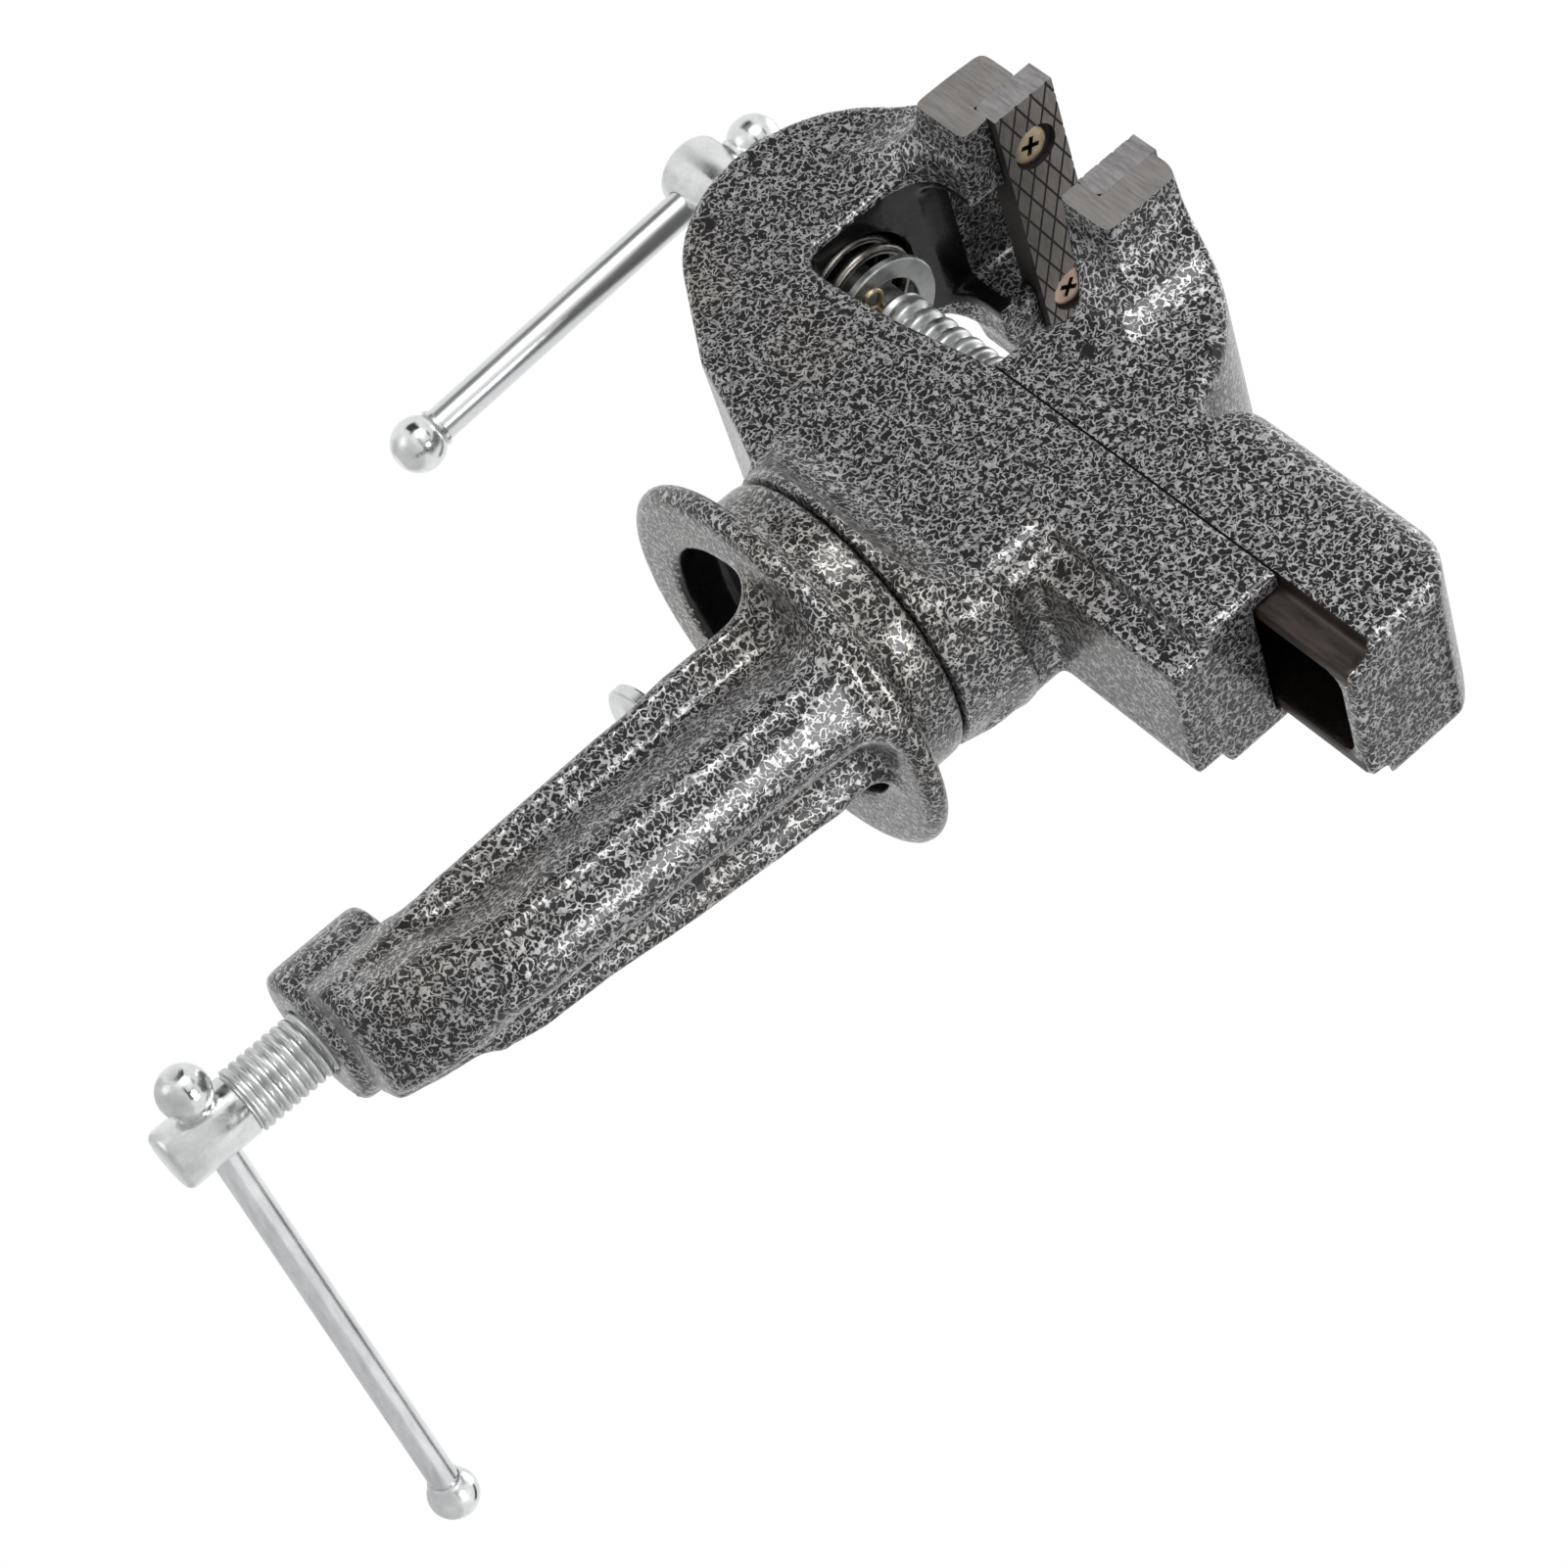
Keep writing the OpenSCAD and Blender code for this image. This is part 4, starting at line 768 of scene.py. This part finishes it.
# The pin's path lies in one plane: up one leg, round the eye at the top and down the other leg
pin_x, pin_turn, pin_wire = -49.25, 104, 0.6
eye_radius, eye_height = 2.1, 8.9
pin_leg = [(-2.4, -9.6), (-1.5, -8.4), (-0.8, -7.6), (-0.58, -6.8), (-0.58, 0), (-0.58, 6.9)]
pin_path = [(0, across, up) for across, up in pin_leg]
for k in range(1, 17):
    a = math.radians(-106 - 328 * k / 17)
    pin_path.append((0, eye_radius * math.cos(a), eye_height + eye_radius * math.sin(a)))
pin_path += [(0, -across, up) for across, up in reversed(pin_leg)]
split_pin = wire("split_pin_bent", pin_path, pin_wire, sides=10)
split_pin.data.materials.append(yellow_plating)
split_pin.data.transform(main_turn @ shaft(pin_x, 0, 0, Matrix.Rotation(math.radians(pin_turn), 4, "X")))
shaded(split_pin, 60)
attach(split_pin, "main_screw")
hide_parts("split_pin")

# Spring
# One steel wire wound in four open curls, which holds the screw back against the head. Its wire is
# painted dark as painted shade of the window; only the end that bears on the washer keeps the dull zinc.
curls, wire_thick, spring_radius, spring_from, spring_to = 4, 2.3, 11.4, -74.9, -52.5
turn_steps = 32
rise = (spring_to - spring_from - 2 * wire_thick) / curls
spring_path = [(spring_from, spring_radius, axis)]
for k in range(turn_steps * curls + 1):
    a = 2 * math.pi * k / turn_steps
    spring_path.append((spring_from + wire_thick + rise * a / (2 * math.pi),
                        spring_radius * math.cos(a), axis + spring_radius * math.sin(a)))
spring_path.append((spring_to, spring_radius, axis))
spring = wire("spring_wound", spring_path, wire_thick / 2, sides=14)
# Dark steel: painted shade of the window
spring_wire = bare_metal("spring_wire", (0.055, 0.050, 0.044, 1), (0.30, 0.285, 0.26, 1), scale=300.0,
                         shift=-0.06, depth=0.00002)
finished(spring, spring_wire, (dull_zinc, lambda at, n: at.x > -55))
shaded(spring, 60)
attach(spring, "head")
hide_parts("screw_spring")

# Main handle
# A bright plated bar that slides in the screw's head, with a ball pressed on each end so that it
# can't fall out. The bar is drawn smooth and the balls are turned.
bar_zinc = bare_metal("bar_zinc", (0.66, 0.67, 0.68, 1), (0.80, 0.81, 0.81, 1), (1, 0.3, 0.2), 120.0,
                      0.23, 0.0, uneven=0.25)


def end_ball(name, radius, rod):
    """A ball with a small flat and a swaged collar where the bar, which runs up, goes in."""
    rows = []
    for k in range(25):
        a = math.radians(-68 + (68 + 50) * k / 24)
        rows.append((radius * math.sin(a), radius * math.cos(a), 0))
    rows.insert(0, (rows[0][0] - 0.06, rows[0][1] - 0.9, 0))
    rows += [(radius * 0.80, rod + 0.75, 0), (radius * 0.93, rod + 0.55, 0), (radius * 0.97, rod + 0.1, 0)]
    return lathe(name, rows)


UPSIDE_DOWN = Matrix.Rotation(math.pi, 4, "X")
upper, bar_long = 12.94, 94.4
bar_radius, ball_radius = 3.65, 5.9
main_bar = lathe("main_handle_bar", (
    (upper - bar_long - 1, bar_radius - 0.75, 0), (upper - bar_long, bar_radius, 0), (upper, bar_radius, 0),
    (upper + 1, bar_radius - 0.75, 0)), around=40)
main_bar.data.materials.append(bar_zinc)
upper_ball = end_ball("main_handle_ball_upper", ball_radius, bar_radius)
upper_ball.data.materials.append(turned_zinc)
upper_ball.data.transform(shaft(0, 0, upper, UPSIDE_DOWN))
lower_ball = end_ball("main_handle_ball_lower", ball_radius, bar_radius)
lower_ball.data.materials.append(turned_zinc)
lower_ball.data.transform(shaft(0, 0, upper - bar_long))
for piece, node in ((main_bar, "main_handle_rod"), (upper_ball, "main_handle_upper_ball"),
                    (lower_ball, "main_handle_lower_ball")):
    piece.data.transform(main_turn @ shaft(head_middle, 0, 0))
    shaded(piece, 30)
    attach(piece, "main_handle")
    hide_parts(node)

# Clamp screw
# Turned steel with a fine thread, a drilled head for its bar at the bottom and a ball for the pad
# at the top; zinc plated.
thread_zinc = bare_metal("thread_zinc", (0.48, 0.49, 0.49, 1), (0.74, 0.75, 0.75, 1), scale=260.0,
                         depth=0.00002)
clamp_x, clamp_y, lever_height, lever_swing, lever_hole = -3.4, -1.6, -138.7, 79.3, 3.2
ball_z, ball_r = -32.6, 5.5
rows = [(-148.5, 5.0, 0), (-148.4, 5.7, 0), (-148.0, 6.2, 0), (-147.3, 6.6, 0), (-131.6, 6.6, 0),
        (-131.2, 6.3, 0), (-131.1, 6.0, 0), (-130.6, 6.0, 0)]
rows += threaded(-130.5, -44.8, 7.0, depth=0.65, pitch=2.0, run_in=1.6, run_out=2.0)
rows += [(-44.0, 6.2, 0), (-43.1, 5.4, 0), (-43.1, 4.0, 0), (-37, 4.0, 0)]
for k in range(17):
    a = math.radians(-46 + (46 + 84) * k / 16)
    rows.append((ball_z + ball_r * math.sin(a), ball_r * math.cos(a), 0))
clamp_screw = lathe("clamp_screw_threaded", rows, pitch=2.0)
lever_turn = Matrix.Rotation(math.radians(lever_swing), 4, "Z") @ Matrix.Rotation(math.radians(90), 4, "Y")
cross_hole = lathe("hole", ((-10, lever_hole, 0), (10, lever_hole, 0)), around=40)
cross_hole.data.transform(shaft(0, 0, lever_height, lever_turn))
cut_away(clamp_screw, cross_hole)
finished(clamp_screw, turned_zinc, (thread_zinc, lambda at, n: at.z > -130.9))
clamp_screw.data.transform(shaft(clamp_x, clamp_y, 0))
shaded(clamp_screw, 30)
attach(clamp_screw, "clamp_screw")
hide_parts("clamp_screw")

# Clamp pad
# A round plated plate with a socket swaged over the screw's ball, so that it can tilt and turn
# against the underside of the table.
socket_r = 5.56
pad = lathe("clamp_pad_turned", (
    (-36.5, 5.0, 0), (-36.55, 6.8, 0), (-36.2, 7.9, 0), (-31.0, 9.0, 0), (-29.2, 9.5, 0), (-28.3, 10.3, 0),
    (-28.0, 11.2, 0), (-28.0, 13.9, 0), (-27.6, 14.4, 0), (-25.6, 14.5, 0), (-25.1, 14.1, 0),
    (-25.0, 13.4, 0), (-25.0, 9.4, 0), (-25.3, 9.0, 0), (-25.3, 6.0, 0), (-25.0, 5.6, 0)), around=72)
pad.data.materials.append(plating)
socket = lathe("hole", [(-40, 4.5, 0), (-35.6, 4.5, 0)] + [
    (ball_z + socket_r * math.sin(math.radians(a)), socket_r * math.cos(math.radians(a)), 0)
    for a in range(-32, 89, 8)])
cut_away(pad, socket)
pad.data.transform(shaft(clamp_x, clamp_y, 0))
shaded(pad, 30)
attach(pad, "clamp_pad")
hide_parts("clamp_pad")

# Clamp handle
# A longer, thinner bar through the clamp screw's head, with a ball pressed on each end. Its plating
# is scratched along its length.
lever_zinc = bare_metal("lever_zinc", (0.56, 0.57, 0.59, 1), (0.86, 0.87, 0.87, 1), (1, 0.06, 1), 500.0,
                        0.10, 0.0, uneven=0.4)
near_end, lever_long, lever_radius, lever_ball = 11.32, 130.0, 3.1, 5.4
lever = lathe("clamp_handle_bar", (
    (-near_end - 1, lever_radius - 0.7, 0), (-near_end, lever_radius, 0),
    (lever_long - near_end, lever_radius, 0), (lever_long - near_end + 1, lever_radius - 0.7, 0)), around=40)
lever.data.materials.append(lever_zinc)
near_ball = end_ball("clamp_handle_ball_near", lever_ball, lever_radius)
near_ball.data.materials.append(turned_zinc)
near_ball.data.transform(shaft(0, 0, -near_end))
far_ball = end_ball("clamp_handle_ball_far", lever_ball, lever_radius)
far_ball.data.materials.append(turned_zinc)
far_ball.data.transform(shaft(0, 0, lever_long - near_end, UPSIDE_DOWN))
for piece, node in ((lever, "clamp_handle_rod"), (near_ball, "clamp_handle_near_ball"),
                    (far_ball, "clamp_handle_far_ball")):
    piece.data.transform(shaft(clamp_x, clamp_y, lever_height, lever_turn))
    shaded(piece, 30)
    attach(piece, "clamp_handle")
    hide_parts(node)
